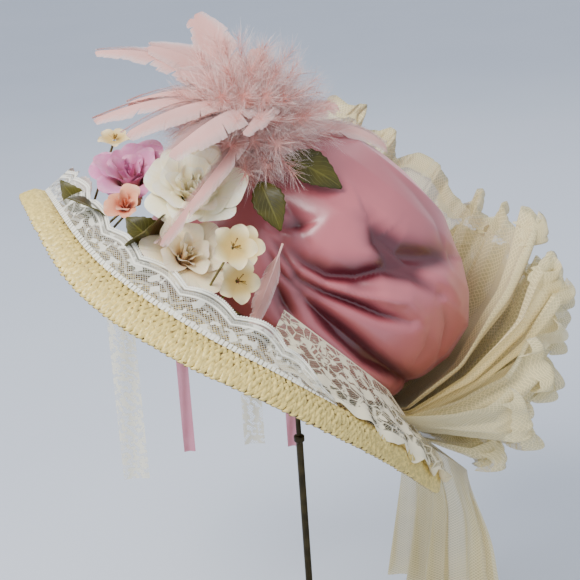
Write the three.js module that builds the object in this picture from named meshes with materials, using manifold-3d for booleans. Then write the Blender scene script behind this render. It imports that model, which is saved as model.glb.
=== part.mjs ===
// A trimmed straw hat with a wide brim, resting at a steep tilt on a thin rod stand.
// Millimetres, +Z up. The origin is the centre of the stand's foot, on the surface it stands on.
// The hat's own frame has -X at its front, +Z up through the crown and its origin in the brim's middle.

import * as THREE from 'three';
import { mergeVertices } from 'three/addons/utils/BufferGeometryUtils.js';
import Module from 'manifold-3d';

const wasm = await Module();
wasm.setup();

// Driving dimensions

const degrees = THREE.MathUtils.degToRad;
const HAT_PLACE = new THREE.Vector3(-44, 0, 312);
const HAT_TILT = degrees(44);
const HAT_LEAN = degrees(-16.5);

const HEAD_LONG = 96;
const HEAD_WIDE = 80;
const BRIM_LONG = 189;
const BRIM_WIDE = 178;
const STRAW_WALL = 2.4;
const GAP = 0.5;

const SATIN_WALL = 2;
const POUF_WIDTH_SHARE = 0.86;
const LACE_WALL = 1;
const LACE_LIFT = STRAW_WALL / 2 + LACE_WALL / 2 + GAP;
const LACE_CLEAR = 2;
const TULLE_WALL = 1;
const PETAL_WALL = 1.2;
const FEATHER_WALL = 1.2;

const BASE_RADIUS = 85;
const BASE_HEIGHT = 9;
const ROD_RADIUS = 2.8;
const ROD_TOP_RADIUS = 2;
const COLLAR_HEIGHT = 226;
const STAND_HEAD_RADIUS = 14;
const STAND_HEAD_HEIGHT = 405;

// Sections of the straw body: a share of the brim's width or of the head's radius, and a height

const BRIM_SECTION = [
  { share: 0, height: 10 },
  { share: 0.28, height: 9.5 },
  { share: 0.55, height: 8 },
  { share: 0.76, height: 5 },
  { share: 0.88, height: 1 },
  { share: 0.95, height: -5 },
  { share: 1, height: -15 },
];

// How far the soft brim lifts or dips along its length, from the front, -1, to the back, 1
const BRIM_SWAY = [
  { share: -1, lift: 2 },
  { share: -0.75, lift: -17 },
  { share: -0.35, lift: -14 },
  { share: 0, lift: 0 },
  { share: 0.5, lift: 15 },
  { share: 1, lift: 18 },
];

const CROWN_SECTION = [
  { reach: 0, height: 112 },
  { reach: 0.5, height: 110 },
  { reach: 0.8, height: 101 },
  { reach: 0.94, height: 80 },
  { reach: 0.99, height: 46 },
  { reach: 1, height: 12.2 },
];

// Sections of the satin pouf from its top to its hem, each leaning some way to the back
const POUF_SECTION = [
  { height: 178, reach: 0, back: 10 },
  { height: 177, reach: 30, back: 10 },
  { height: 171, reach: 60, back: 11 },
  { height: 155, reach: 83, back: 16 },
  { height: 137, reach: 101, back: 20 },
  { height: 117, reach: 114, back: 22 },
  { height: 90, reach: 120, back: 18 },
  { height: 62, reach: 118, back: 13 },
  { height: 42, reach: 114, back: 9 },
  { height: 28, reach: 110, back: 5 },
  { height: 19, reach: 103, back: 2 },
];

// Swagged folds of the pouf: each runs from front to back at both sides, with its sag, depth and width
const POUF_FOLDS = [
  { front: -34, start: 108, back: 112, end: 145, sag: -7, depth: 17, width: 11 },
  { front: -66, start: 66, back: 92, end: 120, sag: -7, depth: 13, width: 11 },
  { front: -44, start: 39, back: 124, end: 55, sag: 0, depth: 13, width: 10 },
];

// White lace along the front of the brim, with angles from the back, a share of the brim's width and a lean
const LACE_RUFFLE = {
  from: -230, to: -76, share: 0.9, height: 27, lean: 7, wave: 2.2, scallops: 13, scallopDepth: 0.18,
};

// Ivory lace on the back of the brim: it leaves the straw at the fold, and is tucked in at its ends
const LACE_OVERLAY = {
  from: -95, to: 104, inner: 0.3, fold: 0.86, hem: 1.07, tuckedHem: 0.78, waves: 11, wave: 4,
  proppedTo: -54, propEase: 14, propHeight: 17,
};

// Gathered tulle: the reach out from its gathering line and the height, then its ruffles
const TULLE_FRILLS = [
  {
    name: 'tulle_frill_1', from: -26, to: 122, gather: 0, ruffles: 6, wave: 9,
    section: [[0, 14], [24, 40], [35, 88], [30, 150], [12, 212]],
  },
  {
    name: 'tulle_frill_2', from: -42, to: 70, gather: 6, ruffles: 6, wave: 11,
    section: [[0, 15], [34, 36], [56, 78], [70, 122], [66, 160]],
  },
  {
    name: 'tulle_frill_3', from: -46, to: 56, gather: 12, ruffles: 6, wave: 9,
    section: [[0, 17], [32, 33], [58, 51], [78, 67], [86, 86]],
  },
];
const TULLE_GATHER_LONG = 113;
const TULLE_GATHER_WIDE = 99;

const TULLE_TAILS = [
  { name: 'tulle_tail_1', from: -16, to: 6, end: 26, spread: 1.8, splay: 14, pleats: 3 },
  { name: 'tulle_tail_2', from: 12, to: 34, end: 34, spread: 1.7, splay: -14, pleats: 3 },
];
const TAIL_FALL = { start: 0.62, edge: 0.86, overBrim: 0.3, clear: 9, rise: 4, pleat: 5, reach: 26 };

// Streamers on the far side: an angle round the brim, a width and the height of the lower end
const STREAMERS = [
  { name: 'lace_streamer_1', angle: 133, share: 0.62, width: 22, end: 152, colour: 0xe9e6dc },
  { name: 'pink_ribbon_1', angle: 104, share: 0.62, width: 10, end: 158, colour: 0xd58fa4 },
  { name: 'lace_streamer_2', angle: 76, share: 0.58, width: 18, end: 162, colour: 0xe9e6dc },
  { name: 'pink_ribbon_2', angle: 58, share: 0.5, width: 10, end: 168, colour: 0xd58fa4 },
];
const STREAMER_WALL = 1;
const STREAMER_BOW = 3;
const STREAMER_TURN = 3;

// Flowers: place, the way each faces, its radius, and where its stem meets the brim
const ROSES = [
  {
    name: 'rose_ivory', at: [-105, -95, 62], facing: [-0.35, -0.85, 0.4], radius: 33,
    foot: [-112, -72], colour: 0xf1ecd6,
  },
  {
    name: 'rose_pink', at: [-144, -46, 42], facing: [-0.72, -0.4, 0.55], radius: 28,
    foot: [-134, -36], colour: 0xd38fae,
  },
  {
    name: 'bloom_ivory', at: [-86, -118, 24], facing: [-0.2, -0.8, 0.55], radius: 24,
    foot: [-84, -104], colour: 0xf3e9cf,
  },
  {
    name: 'bud_peach', at: [-139, -86, 27], facing: [-0.5, -0.8, 0.3], radius: 13,
    foot: [-134, -78], colour: 0xe6b49a,
  },
];
const PETALS = 5;
const BLOSSOMS = [
  { name: 'blossom_1', at: [-74, -155, 50], facing: [-0.1, -0.95, 0.3], radius: 13, foot: [-62, -122] },
  { name: 'blossom_2', at: [-62, -120, 56], facing: [0, -0.9, 0.4], radius: 11, foot: [-60, -104] },
  { name: 'blossom_3', at: [-54, -134, 35], facing: [0.2, -0.95, 0.2], radius: 13, foot: [-52, -116] },
  { name: 'blossom_4', at: [-164, -14, 62], facing: [-0.6, -0.5, 0.6], radius: 12, foot: [-142, 6] },
];
const STEM_RADIUS = 1.2;
const LEAVES = [
  { name: 'leaf_1', root: [-106, -101, 20], tip: [-133, -100, 23], width: 23, foot: [-104, -94] },
  { name: 'leaf_2', root: [-114, -104, 8], tip: [-99, -125, 2], width: 16, foot: [-112, -98] },
  { name: 'leaf_3', root: [-149, -48, 9], tip: [-163, -25, 15], width: 15, foot: [-146, -44] },
  { name: 'leaf_4', root: [-138, -77, 12], tip: [-155, -60, 10], width: 14, foot: [-135, -72] },
  { name: 'leaf_5', root: [-70, -77, 124], tip: [-26, -87, 131], width: 26 },
  { name: 'leaf_6', root: [-76, -95, 98], tip: [-46, -107, 80], width: 22 },
  { name: 'pale_petal', root: [-152, -16, 16], tip: [-168, 2, 20], width: 22, foot: [-146, -14] },
];
const LEAF_BOW = 4;

// Feather blades from the bound head: where each tip lies, how far it arches, and its width
const FEATHER_HEAD = [-100, -58, 126];
const FEATHER_FOOT = [-114, -38];
const QUILL_RADIUS = 2.5;
const FEATHER_BLADES = [
  { tip: [-214, -32, 102], arch: 40, width: 26 },
  { tip: [-176, -34, 164], arch: 10, width: 28 },
  { tip: [-110, -124, 112], arch: 36, width: 24 },
  { tip: [-142, -136, 70], arch: 52, width: 36 },
  { tip: [-112, -146, 22], arch: 66, width: 16 },
  { tip: [-188, -64, 62], arch: 44, width: 24 },
  { tip: [-168, -98, 66], arch: 50, width: 32 },
  { tip: [-58, -50, 180], arch: 14, width: 24 },
  { tip: [-4, -20, 185], arch: 26, width: 24 },
];
// Fluff round the head: a ball drawn out into locks, kept short of the pouf and of the pieces beside it
const FLUFF = { columns: 14, rows: 8, core: 18, reach: 64 };
const FLUFF_CLEAR = [
  { at: [-50, -82, 126], radius: 28 },
  { at: [-61, -101, 89], radius: 24 },
  { at: [-105, -95, 62], radius: 42 },
];
const POUF_ROUND = { middle: [16, 0, 78], half: [126, 110, 106] };
const HANGING_FEATHER = { root: [-40, -110, 74], tip: [-26, -127, 18], arch: 2, width: 13 };

// Materials

const paint = (color, roughness, metalness = 0) =>
  new THREE.MeshStandardMaterial({ color, roughness, metalness });
const STAND_METAL = paint(0x2d2618, 0.45, 0.8);
const STRAW = paint(0xdecd96, 0.6);
const SATIN = paint(0xbe7a8c, 0.35);
const WHITE_LACE = paint(0xebebe8, 0.8);
const IVORY_LACE = paint(0xe1d7be, 0.8);
const TULLE = paint(0xe6e0c4, 0.8);
const BLOSSOM = paint(0xefe6c8, 0.7);
const LEAF = paint(0x696914, 0.6);
const PALE_PETAL = paint(0xe9dcd2, 0.7);
const FEATHER = paint(0xe1b9b4, 0.8);

// Geometry helpers

const vector = (list) => new THREE.Vector3(...list);
const ease = (t) => t * t * (3 - 2 * t);

// The value of one column of a table at a place between its rows, eased where the rows are far apart
function lookUp(table, key, value, position) {
  let row = 0;
  while (row < table.length - 2 && position > table[row + 1][key]) row += 1;
  const [low, high] = [table[row], table[row + 1]];
  const share = THREE.MathUtils.clamp((position - low[key]) / (high[key] - low[key]), 0, 1);
  return THREE.MathUtils.lerp(low[value], high[value], ease(share));
}

// The value of one column along a table's rows, which stand for equal steps of t
function alongRows(table, value, t) {
  const place = THREE.MathUtils.clamp(t, 0, 1) * (table.length - 1);
  const row = Math.min(Math.floor(place), table.length - 2);
  return THREE.MathUtils.lerp(table[row][value], table[row + 1][value], place - row);
}

// A thin closed wall on a grid of points, thickened to both sides of its middle surface.
// A ring closes on itself along its columns, and a pole draws its first row into one point.
function wall({ columns, rows, thickness, point, ring = false, pole = false }) {
  const step = 1e-3;
  const count = ring ? columns : columns + 1;
  const firstRow = pole ? 1 : 0;
  const layerSize = (pole ? 1 : 0) + count * (rows + 1 - firstRow);
  const normalAt = (s, t) => {
    const t0 = pole ? Math.max(t, step * 4) : t;
    const acrossS = point(s + step, t0).sub(point(s - step, t0));
    const acrossT = point(s, Math.min(t0 + step, 1)).sub(point(s, Math.max(t0 - step, 0)));
    return acrossS.cross(acrossT).normalize();
  };
  const place = (s, t, side) => point(s, t).addScaledVector(normalAt(s, t), (side * thickness) / 2);
  const poleNormal = new THREE.Vector3();
  for (let i = 0; i < columns; i += 1) poleNormal.add(normalAt(i / columns, 0));
  poleNormal.normalize();

  const vertices = [];
  for (const side of [1, -1]) {
    if (pole) vertices.push(point(0, 0).addScaledVector(poleNormal, (side * thickness) / 2));
    for (let j = firstRow; j <= rows; j += 1) {
      for (let i = 0; i < count; i += 1) vertices.push(place(i / columns, j / rows, side));
    }
  }
  const at = (layer, i, j) => {
    if (pole && j === 0) return layer * layerSize;
    return layer * layerSize + (pole ? 1 : 0) + (j - firstRow) * count + (ring ? i % columns : i);
  };
  const faces = [];
  const quad = (a, b, c, d) => faces.push(a, b, c, a, c, d);
  for (let i = 0; i < columns; i += 1) {
    for (let j = 0; j < rows; j += 1) {
      if (pole && j === 0) {
        faces.push(at(0, i, 0), at(0, i + 1, 1), at(0, i, 1));
        faces.push(at(1, i, 0), at(1, i, 1), at(1, i + 1, 1));
        continue;
      }
      quad(at(0, i, j), at(0, i + 1, j), at(0, i + 1, j + 1), at(0, i, j + 1));
      quad(at(1, i, j), at(1, i, j + 1), at(1, i + 1, j + 1), at(1, i + 1, j));
    }
    quad(at(0, i, rows), at(0, i + 1, rows), at(1, i + 1, rows), at(1, i, rows));
    if (!pole) quad(at(0, i + 1, 0), at(0, i, 0), at(1, i, 0), at(1, i + 1, 0));
  }
  if (!ring) {
    for (let j = 0; j < rows; j += 1) {
      quad(at(0, 0, j), at(0, 0, j + 1), at(1, 0, j + 1), at(1, 0, j));
      quad(at(0, columns, j + 1), at(0, columns, j), at(1, columns, j), at(1, columns, j + 1));
    }
  }
  const geometry = new THREE.BufferGeometry();
  geometry.setFromPoints(vertices);
  geometry.setIndex(faces);
  return outward(geometry);
}

// The geometry with its faces turned out, told by the sign of its volume
function outward(geometry) {
  const position = geometry.getAttribute('position');
  const index = geometry.getIndex();
  const [a, b, c] = [new THREE.Vector3(), new THREE.Vector3(), new THREE.Vector3()];
  let volume = 0;
  for (let i = 0; i < index.count; i += 3) {
    a.fromBufferAttribute(position, index.getX(i));
    b.fromBufferAttribute(position, index.getX(i + 1));
    c.fromBufferAttribute(position, index.getX(i + 2));
    volume += a.dot(b.cross(c));
  }
  if (volume < 0) {
    for (let i = 0; i < index.count; i += 3) {
      const keep = index.getX(i);
      index.setX(i, index.getX(i + 1));
      index.setX(i + 1, keep);
    }
  }
  return geometry;
}

function toSolid(geometry) {
  const bare = geometry.clone();
  bare.deleteAttribute('normal');
  bare.deleteAttribute('uv');
  const merged = mergeVertices(bare, 1e-3);
  return new wasm.Manifold(new wasm.Mesh({
    numProp: 3,
    vertProperties: new Float32Array(merged.getAttribute('position').array),
    triVerts: new Uint32Array(merged.getIndex().array),
  }));
}

function toGeometry(solid) {
  const mesh = solid.getMesh();
  const geometry = new THREE.BufferGeometry();
  geometry.setAttribute('position', new THREE.BufferAttribute(mesh.vertProperties, 3));
  geometry.setIndex(new THREE.BufferAttribute(mesh.triVerts, 1));
  return geometry;
}

// One body from several, without the small pockets that crossing blades shut in
function fuse(geometries) {
  const whole = geometries.map(toSolid).reduce((joined, next) => joined.add(next));
  return toGeometry(whole.decompose().sort((a, b) => b.volume() - a.volume())[0]);
}

// The turn that takes +Z to a direction
function facingTurn(direction) {
  return new THREE.Quaternion().setFromUnitVectors(new THREE.Vector3(0, 0, 1), direction.clone().normalize());
}

// A round tapered bar between two points
function bar(from, to, startRadius, endRadius, sides) {
  const span = to.clone().sub(from);
  const geometry = new THREE.CylinderGeometry(endRadius, startRadius, span.length(), sides);
  geometry.rotateX(Math.PI / 2);
  geometry.applyQuaternion(facingTurn(span));
  const middle = from.clone().lerp(to, 0.5);
  return geometry.translate(middle.x, middle.y, middle.z);
}

// Straw body

// A point of the brim's middle surface at an angle from the back and a share of its width
function brimPoint(angle, share, lift = 0) {
  const x = THREE.MathUtils.lerp(HEAD_LONG, BRIM_LONG, share) * Math.cos(angle);
  const y = THREE.MathUtils.lerp(HEAD_WIDE, BRIM_WIDE, share) * Math.sin(angle);
  const sway = lookUp(BRIM_SWAY, 'share', 'lift', x / BRIM_LONG) * share * share;
  const height = lookUp(BRIM_SECTION, 'share', 'height', share);
  return new THREE.Vector3(x, y, height + sway + lift);
}

function strawBrim() {
  const point = (s, t) => brimPoint(s * 2 * Math.PI, alongRows(BRIM_SECTION, 'share', t));
  return wall({ columns: 36, rows: BRIM_SECTION.length - 1, thickness: STRAW_WALL, point, ring: true });
}

function strawCrown() {
  const point = (s, t) => {
    const reach = alongRows(CROWN_SECTION, 'reach', t);
    const angle = s * 2 * Math.PI;
    const x = (HEAD_LONG + STRAW_WALL / 2) * reach * Math.cos(angle);
    const y = (HEAD_WIDE + STRAW_WALL / 2) * reach * Math.sin(angle);
    return new THREE.Vector3(x, y, alongRows(CROWN_SECTION, 'height', t));
  };
  const rows = CROWN_SECTION.length - 1;
  return wall({ columns: 28, rows, thickness: STRAW_WALL, point, ring: true, pole: true });
}

// Satin pouf

// How deep the swagged folds press in at a place on the pouf
function foldDepth(x, z) {
  let depth = 0;
  for (const fold of POUF_FOLDS) {
    const share = (x - fold.front) / (fold.back - fold.front);
    const inside = THREE.MathUtils.clamp(share, 0, 1);
    const level = THREE.MathUtils.lerp(fold.start, fold.end, inside) + fold.sag * Math.sin(Math.PI * inside);
    const fade = ease(THREE.MathUtils.clamp(1 + Math.min(share, 1 - share) * 4, 0, 1));
    depth += fold.depth * fade * Math.exp(-(((z - level) / fold.width) ** 2));
  }
  return depth;
}

function satinPouf() {
  const point = (s, t) => {
    const angle = s * 2 * Math.PI;
    const height = alongRows(POUF_SECTION, 'height', t);
    const back = alongRows(POUF_SECTION, 'back', t);
    const reach = alongRows(POUF_SECTION, 'reach', t);
    const pressed = reach - foldDepth(back + reach * Math.cos(angle), height) * Math.min(reach / 60, 1);
    const x = back + pressed * Math.cos(angle);
    return new THREE.Vector3(x, POUF_WIDTH_SHARE * pressed * Math.sin(angle), height);
  };
  return wall({ columns: 40, rows: 12, thickness: SATIN_WALL, point, ring: true, pole: true });
}

// Lace

// White lace that stands up from the brim's fold, leaning in, with a scalloped top
function laceRuffle() {
  const { from, to, share, height, lean, wave, scallops, scallopDepth } = LACE_RUFFLE;
  const point = (s, t) => {
    const angle = THREE.MathUtils.lerp(degrees(from), degrees(to), s);
    const ends = ease(Math.min(1, 6 * s + 0.25)) * ease(Math.min(1, 5 * (1 - s) + 0.2));
    const scallop = 1 - scallopDepth + scallopDepth * Math.abs(Math.sin(s * scallops * Math.PI));
    const foot = brimPoint(angle, share, LACE_LIFT + LACE_CLEAR);
    const inward = lean * t + wave * t * Math.sin(s * scallops * 1.4 * Math.PI);
    foot.x -= inward * Math.cos(angle);
    foot.y -= inward * Math.sin(angle);
    foot.z += height * t * scallop * ends;
    return foot;
  };
  return wall({ columns: 52, rows: 1, thickness: LACE_WALL, point });
}

// Ivory lace that lies on the back of the brim, with a hem that waves over its edge
function laceOverlay() {
  const { from, to, inner, fold, hem, tuckedHem, waves, wave } = LACE_OVERLAY;
  const { proppedTo, propEase, propHeight } = LACE_OVERLAY;
  const point = (s, t) => {
    const angle = THREE.MathUtils.lerp(degrees(from), degrees(to), s);
    const out = ease(THREE.MathUtils.clamp((Math.min(s, 1 - s) - 0.16) * 9, 0, 1));
    const share = THREE.MathUtils.lerp(inner, THREE.MathUtils.lerp(tuckedHem, hem, out), t);
    const laid = Math.min(share, fold);
    const place = brimPoint(angle, laid, LACE_LIFT + LACE_CLEAR);
    const reach = (share - laid) * (BRIM_LONG - HEAD_LONG);
    place.x += reach * Math.cos(angle);
    place.y += reach * Math.sin(angle);
    const propped = ease(THREE.MathUtils.clamp((degrees(proppedTo) - angle) / degrees(propEase), 0, 1));
    place.z += propHeight * propped * (1 - t) ** 1.5;
    place.z += t * t * out * (2 + wave * Math.sin(s * waves * 2 * Math.PI));
    return place;
  };
  return wall({ columns: 40, rows: 3, thickness: LACE_WALL, point });
}

// Tulle

function tulleFrill({ from, to, gather, ruffles, wave, section }) {
  const rows = section.map(([out, height]) => ({ out, height }));
  const point = (s, t) => {
    const angle = THREE.MathUtils.lerp(degrees(from), degrees(to), s);
    const spread = t * t * wave;
    const out = gather + alongRows(rows, 'out', t) + spread * Math.sin(s * ruffles * 2 * Math.PI);
    const height = alongRows(rows, 'height', t) + spread * 0.8 * Math.cos(s * ruffles * 2 * Math.PI + 1);
    const x = (TULLE_GATHER_LONG + out) * Math.cos(angle);
    return new THREE.Vector3(x, (TULLE_GATHER_WIDE + out) * Math.sin(angle), height);
  };
  return wall({ columns: 20, rows: 4, thickness: TULLE_WALL, point });
}

const hatTurn = new THREE.Quaternion().setFromEuler(new THREE.Euler(HAT_LEAN, HAT_TILT, 0, 'YXZ'));
const fromHat = (place) => place.clone().applyQuaternion(hatTurn).add(HAT_PLACE);

// A tail that runs out over the lace to the brim's edge and then hangs straight down in pleats
function tulleTail({ from, to, end, spread, splay, pleats }) {
  const { start, edge, overBrim, clear, rise, pleat, reach } = TAIL_FALL;
  const point = (s, t) => {
    const angle = THREE.MathUtils.lerp(degrees(from), degrees(to), s);
    const fold = pleat * Math.sin(s * pleats * 2 * Math.PI);
    const run = Math.min(t / overBrim, 1);
    const share = THREE.MathUtils.lerp(start, edge, run);
    const onBrim = brimPoint(angle, share, LACE_LIFT + clear + rise * ease(run));
    onBrim.x += reach * ease(run);
    const place = fromHat(onBrim);
    const drop = Math.max(t - overBrim, 0) / (1 - overBrim);
    const middle = fromHat(brimPoint(degrees((from + to) / 2), edge));
    const wide = 1 + (spread - 1) * drop;
    place.x += reach * 0.4 * ease(Math.min(drop * 2.5, 1)) + fold * drop + splay * drop;
    place.y = middle.y + (place.y - middle.y) * wide + fold * 0.6 * drop;
    place.z = THREE.MathUtils.lerp(place.z, end, drop);
    return place;
  };
  return wall({ columns: 8, rows: 6, thickness: TULLE_WALL, point });
}

// A flat streamer sewn along the underside of the brim's far side, turning to the front as it hangs down
function streamer({ angle, share, width, end }) {
  const under = -STRAW_WALL / 2 - STREAMER_WALL - GAP;
  const halfTurn = width / (BRIM_LONG + HEAD_LONG);
  const sewn = (s) => fromHat(brimPoint(degrees(angle) + (1 - 2 * s) * halfTurn, share, under));
  const point = (s, t) => {
    const place = sewn(s);
    const faced = sewn(0.5).setX(sewn(0.5).x + (s - 0.5) * width).setZ(place.z);
    place.lerp(faced, ease(Math.min(t * STREAMER_TURN, 1)));
    place.y += STREAMER_BOW * Math.sin(t * Math.PI * 1.5);
    place.z = THREE.MathUtils.lerp(place.z, end, t);
    return place;
  };
  return wall({ columns: 1, rows: 7, thickness: STREAMER_WALL, point });
}

// Flowers and leaves

// The height of the brim's upper face under a place on it
function brimTop(x, y) {
  let [low, high] = [0, 1];
  for (let step = 0; step < 24; step += 1) {
    const share = (low + high) / 2;
    const across = x / THREE.MathUtils.lerp(HEAD_LONG, BRIM_LONG, share);
    const along = y / THREE.MathUtils.lerp(HEAD_WIDE, BRIM_WIDE, share);
    if (across * across + along * along > 1) low = share;
    else high = share;
  }
  const long = THREE.MathUtils.lerp(HEAD_LONG, BRIM_LONG, low);
  const wide = THREE.MathUtils.lerp(HEAD_WIDE, BRIM_WIDE, low);
  return brimPoint(Math.atan2(y / wide, x / long), low).z + STRAW_WALL / 2;
}

// A stem from a place above the brim down to its foot on the brim
function stem(from, [x, y], radius = STEM_RADIUS) {
  const foot = new THREE.Vector3(x, y, brimTop(x, y) + GAP + radius / 2);
  return bar(foot, from, radius * 0.8, radius, 5);
}

// A flower's parts turned the way it faces and put in its place, with its stem
function settled(geometries, { at, facing, foot }, depth) {
  const turn = facingTurn(vector(facing));
  const under = new THREE.Vector3(0, 0, -depth).applyQuaternion(turn).add(vector(at));
  for (const geometry of geometries) geometry.applyQuaternion(turn).translate(...at);
  return fuse([...geometries, stem(under, foot)]);
}

// A rose: a closed bud in the middle of one wide cup with five rounded petals, on a short stem
function rose(flower) {
  const { radius } = flower;
  const bud = new THREE.LatheGeometry([
    new THREE.Vector2(0, -0.55 * radius),
    new THREE.Vector2(0.34 * radius, -0.45 * radius),
    new THREE.Vector2(0.48 * radius, -0.05 * radius),
    new THREE.Vector2(0.32 * radius, 0.32 * radius),
    new THREE.Vector2(0, 0.38 * radius),
  ], 8);
  bud.rotateX(Math.PI / 2);
  const point = (s, t) => {
    const angle = s * 2 * Math.PI;
    const petal = Math.abs(Math.sin((angle * PETALS) / 2));
    const out = radius * THREE.MathUtils.lerp(0.2, 1, t) * (1 - 0.2 * t * t * (1 - petal));
    const height = radius * (0.5 * Math.sin(t * 2) - 0.42 + 0.1 * t * petal);
    return new THREE.Vector3(out * Math.cos(angle), out * Math.sin(angle), height);
  };
  const cup = wall({ columns: 3 * PETALS, rows: 2, thickness: PETAL_WALL, point, ring: true });
  return settled([bud, cup], flower, radius * 0.4);
}

// A small blossom of five rounded petals, with its heart standing on the end of its stalk
function blossom(flower) {
  const { radius } = flower;
  const point = (s, t) => {
    const angle = s * 2 * Math.PI;
    const lobe = t > 0.9 ? 0.6 + 0.4 * Math.abs(Math.sin((angle * PETALS) / 2)) : 1;
    const out = radius * t * lobe;
    return new THREE.Vector3(out * Math.cos(angle), out * Math.sin(angle), radius * 0.28 * t);
  };
  const cup = wall({ columns: 3 * PETALS, rows: 1, thickness: PETAL_WALL, point, ring: true, pole: true });
  const heart = bar(new THREE.Vector3(0, 0, -radius * 0.4), new THREE.Vector3(0, 0, radius * 0.22), 1, 2, 5);
  return settled([cup, heart], flower, radius * 0.35);
}

// A leaf or loose petal from its root to its tip, folded a little along its midrib, on a stem if it has one
function leaf({ root, tip, width, foot }) {
  const [from, to] = [vector(root), vector(tip)];
  const along = to.clone().sub(from).normalize();
  const outwards = new THREE.Vector3(from.x + to.x, from.y + to.y, 60).normalize();
  const across = along.clone().cross(outwards).normalize();
  const up = across.clone().cross(along).normalize();
  const point = (s, t) => {
    const side = 2 * s - 1;
    const half = (width / 2) * (0.06 + 0.94 * Math.sin(Math.PI * t ** 0.8));
    const rise = LEAF_BOW * Math.sin(Math.PI * t) + 0.16 * half * Math.abs(side);
    return from.clone().lerp(to, t).addScaledVector(across, side * half).addScaledVector(up, rise);
  };
  const blade = wall({ columns: 2, rows: 5, thickness: PETAL_WALL, point });
  return foot ? fuse([blade, stem(point(0.5, 0.1), foot)]) : blade;
}

// Feathers

// A feather's blade from its root, arching up and over to its tip
function featherBlade(root, { tip, arch, width }) {
  const [from, to] = [vector(root), vector(tip)];
  const knee = from.clone().lerp(to, 0.55).add(new THREE.Vector3(0, 0, arch));
  const spine = new THREE.QuadraticBezierCurve3(from, knee, to);
  const flat = new THREE.Vector3(from.x + to.x, from.y + to.y, 40).normalize();
  const point = (s, t) => {
    const side = 2 * s - 1;
    const across = spine.getTangent(t).cross(flat).normalize();
    const half = (width / 2) * (0.12 + 0.88 * Math.sin(Math.PI * Math.min(1, 0.08 + 0.84 * t)) ** 0.6);
    return spine.getPoint(t).addScaledVector(across, side * half);
  };
  return wall({ columns: 1, rows: 6, thickness: FEATHER_WALL, point });
}

// How far a lock may reach from the feather head along a direction before it meets a piece beside it
function lockReach(direction) {
  let reach = FLUFF.reach;
  for (const { at, radius } of FLUFF_CLEAR) {
    const away = vector(at).sub(vector(FEATHER_HEAD));
    const along = away.dot(direction);
    const off = Math.sqrt(Math.max(away.lengthSq() - along * along, 0));
    if (along > 0 && off < radius) reach = Math.min(reach, along - Math.sqrt(radius * radius - off * off));
  }
  const inPouf = () => vector(FEATHER_HEAD).addScaledVector(direction, reach)
    .sub(vector(POUF_ROUND.middle)).divide(vector(POUF_ROUND.half)).length() < 1;
  while (reach > FLUFF.core && inPouf()) reach -= 2;
  return Math.max(reach, FLUFF.core);
}

// The bound head of the spray, with every second point of every second row drawn out into a soft lock
function fluffBall() {
  const ball = new THREE.SphereGeometry(1, FLUFF.columns, FLUFF.rows);
  const position = ball.getAttribute('position');
  for (let i = 0; i < position.count; i += 1) {
    const direction = new THREE.Vector3().fromBufferAttribute(position, i);
    const row = Math.floor(i / (FLUFF.columns + 1));
    const column = i % (FLUFF.columns + 1);
    const drawnOut = row % 2 === 1 && column % 2 === 0;
    direction.multiplyScalar(drawnOut ? lockReach(direction) : FLUFF.core);
    position.setXYZ(i, direction.x, direction.y, direction.z);
  }
  return ball.translate(...FEATHER_HEAD);
}

function featherSpray() {
  const quill = stem(vector(FEATHER_HEAD), FEATHER_FOOT, QUILL_RADIUS);
  const blades = FEATHER_BLADES.map((blade) => featherBlade(FEATHER_HEAD, blade));
  return fuse([fluffBall(), quill, ...blades]);
}

// Stand

function standBase() {
  const profile = [
    [0, 0], [BASE_RADIUS - 1.5, 0], [BASE_RADIUS, 1.5], [BASE_RADIUS - 1, BASE_HEIGHT - 3],
    [BASE_RADIUS - 8, BASE_HEIGHT - 1], [14, BASE_HEIGHT], [0, BASE_HEIGHT],
  ].map(([r, z]) => new THREE.Vector2(r, z));
  return new THREE.LatheGeometry(profile, 24).rotateX(Math.PI / 2);
}

function standRod() {
  const bottom = BASE_HEIGHT + GAP;
  const top = STAND_HEAD_HEIGHT - STAND_HEAD_RADIUS - GAP;
  const profile = [
    [0, bottom], [9, bottom], [9, bottom + 2], [5, bottom + 7], [ROD_RADIUS, bottom + 12],
    [ROD_RADIUS, COLLAR_HEIGHT - 3], [ROD_RADIUS + 1.4, COLLAR_HEIGHT - 2], [ROD_RADIUS + 1.4, COLLAR_HEIGHT + 2],
    [ROD_TOP_RADIUS, COLLAR_HEIGHT + 3], [ROD_TOP_RADIUS, top], [0, top],
  ].map(([r, z]) => new THREE.Vector2(r, z));
  return new THREE.LatheGeometry(profile, 8).rotateX(Math.PI / 2);
}

function standHead() {
  return new THREE.SphereGeometry(STAND_HEAD_RADIUS, 10, 6).rotateX(Math.PI / 2)
    .translate(0, 0, STAND_HEAD_HEIGHT);
}

// Assembly

const model = new THREE.Group();
const hat = new THREE.Group();
hat.position.copy(HAT_PLACE);
hat.quaternion.copy(hatTurn);
model.add(hat);

function place(group, name, geometry, material) {
  const mesh = new THREE.Mesh(geometry, material);
  mesh.name = name;
  group.add(mesh);
}

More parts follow.
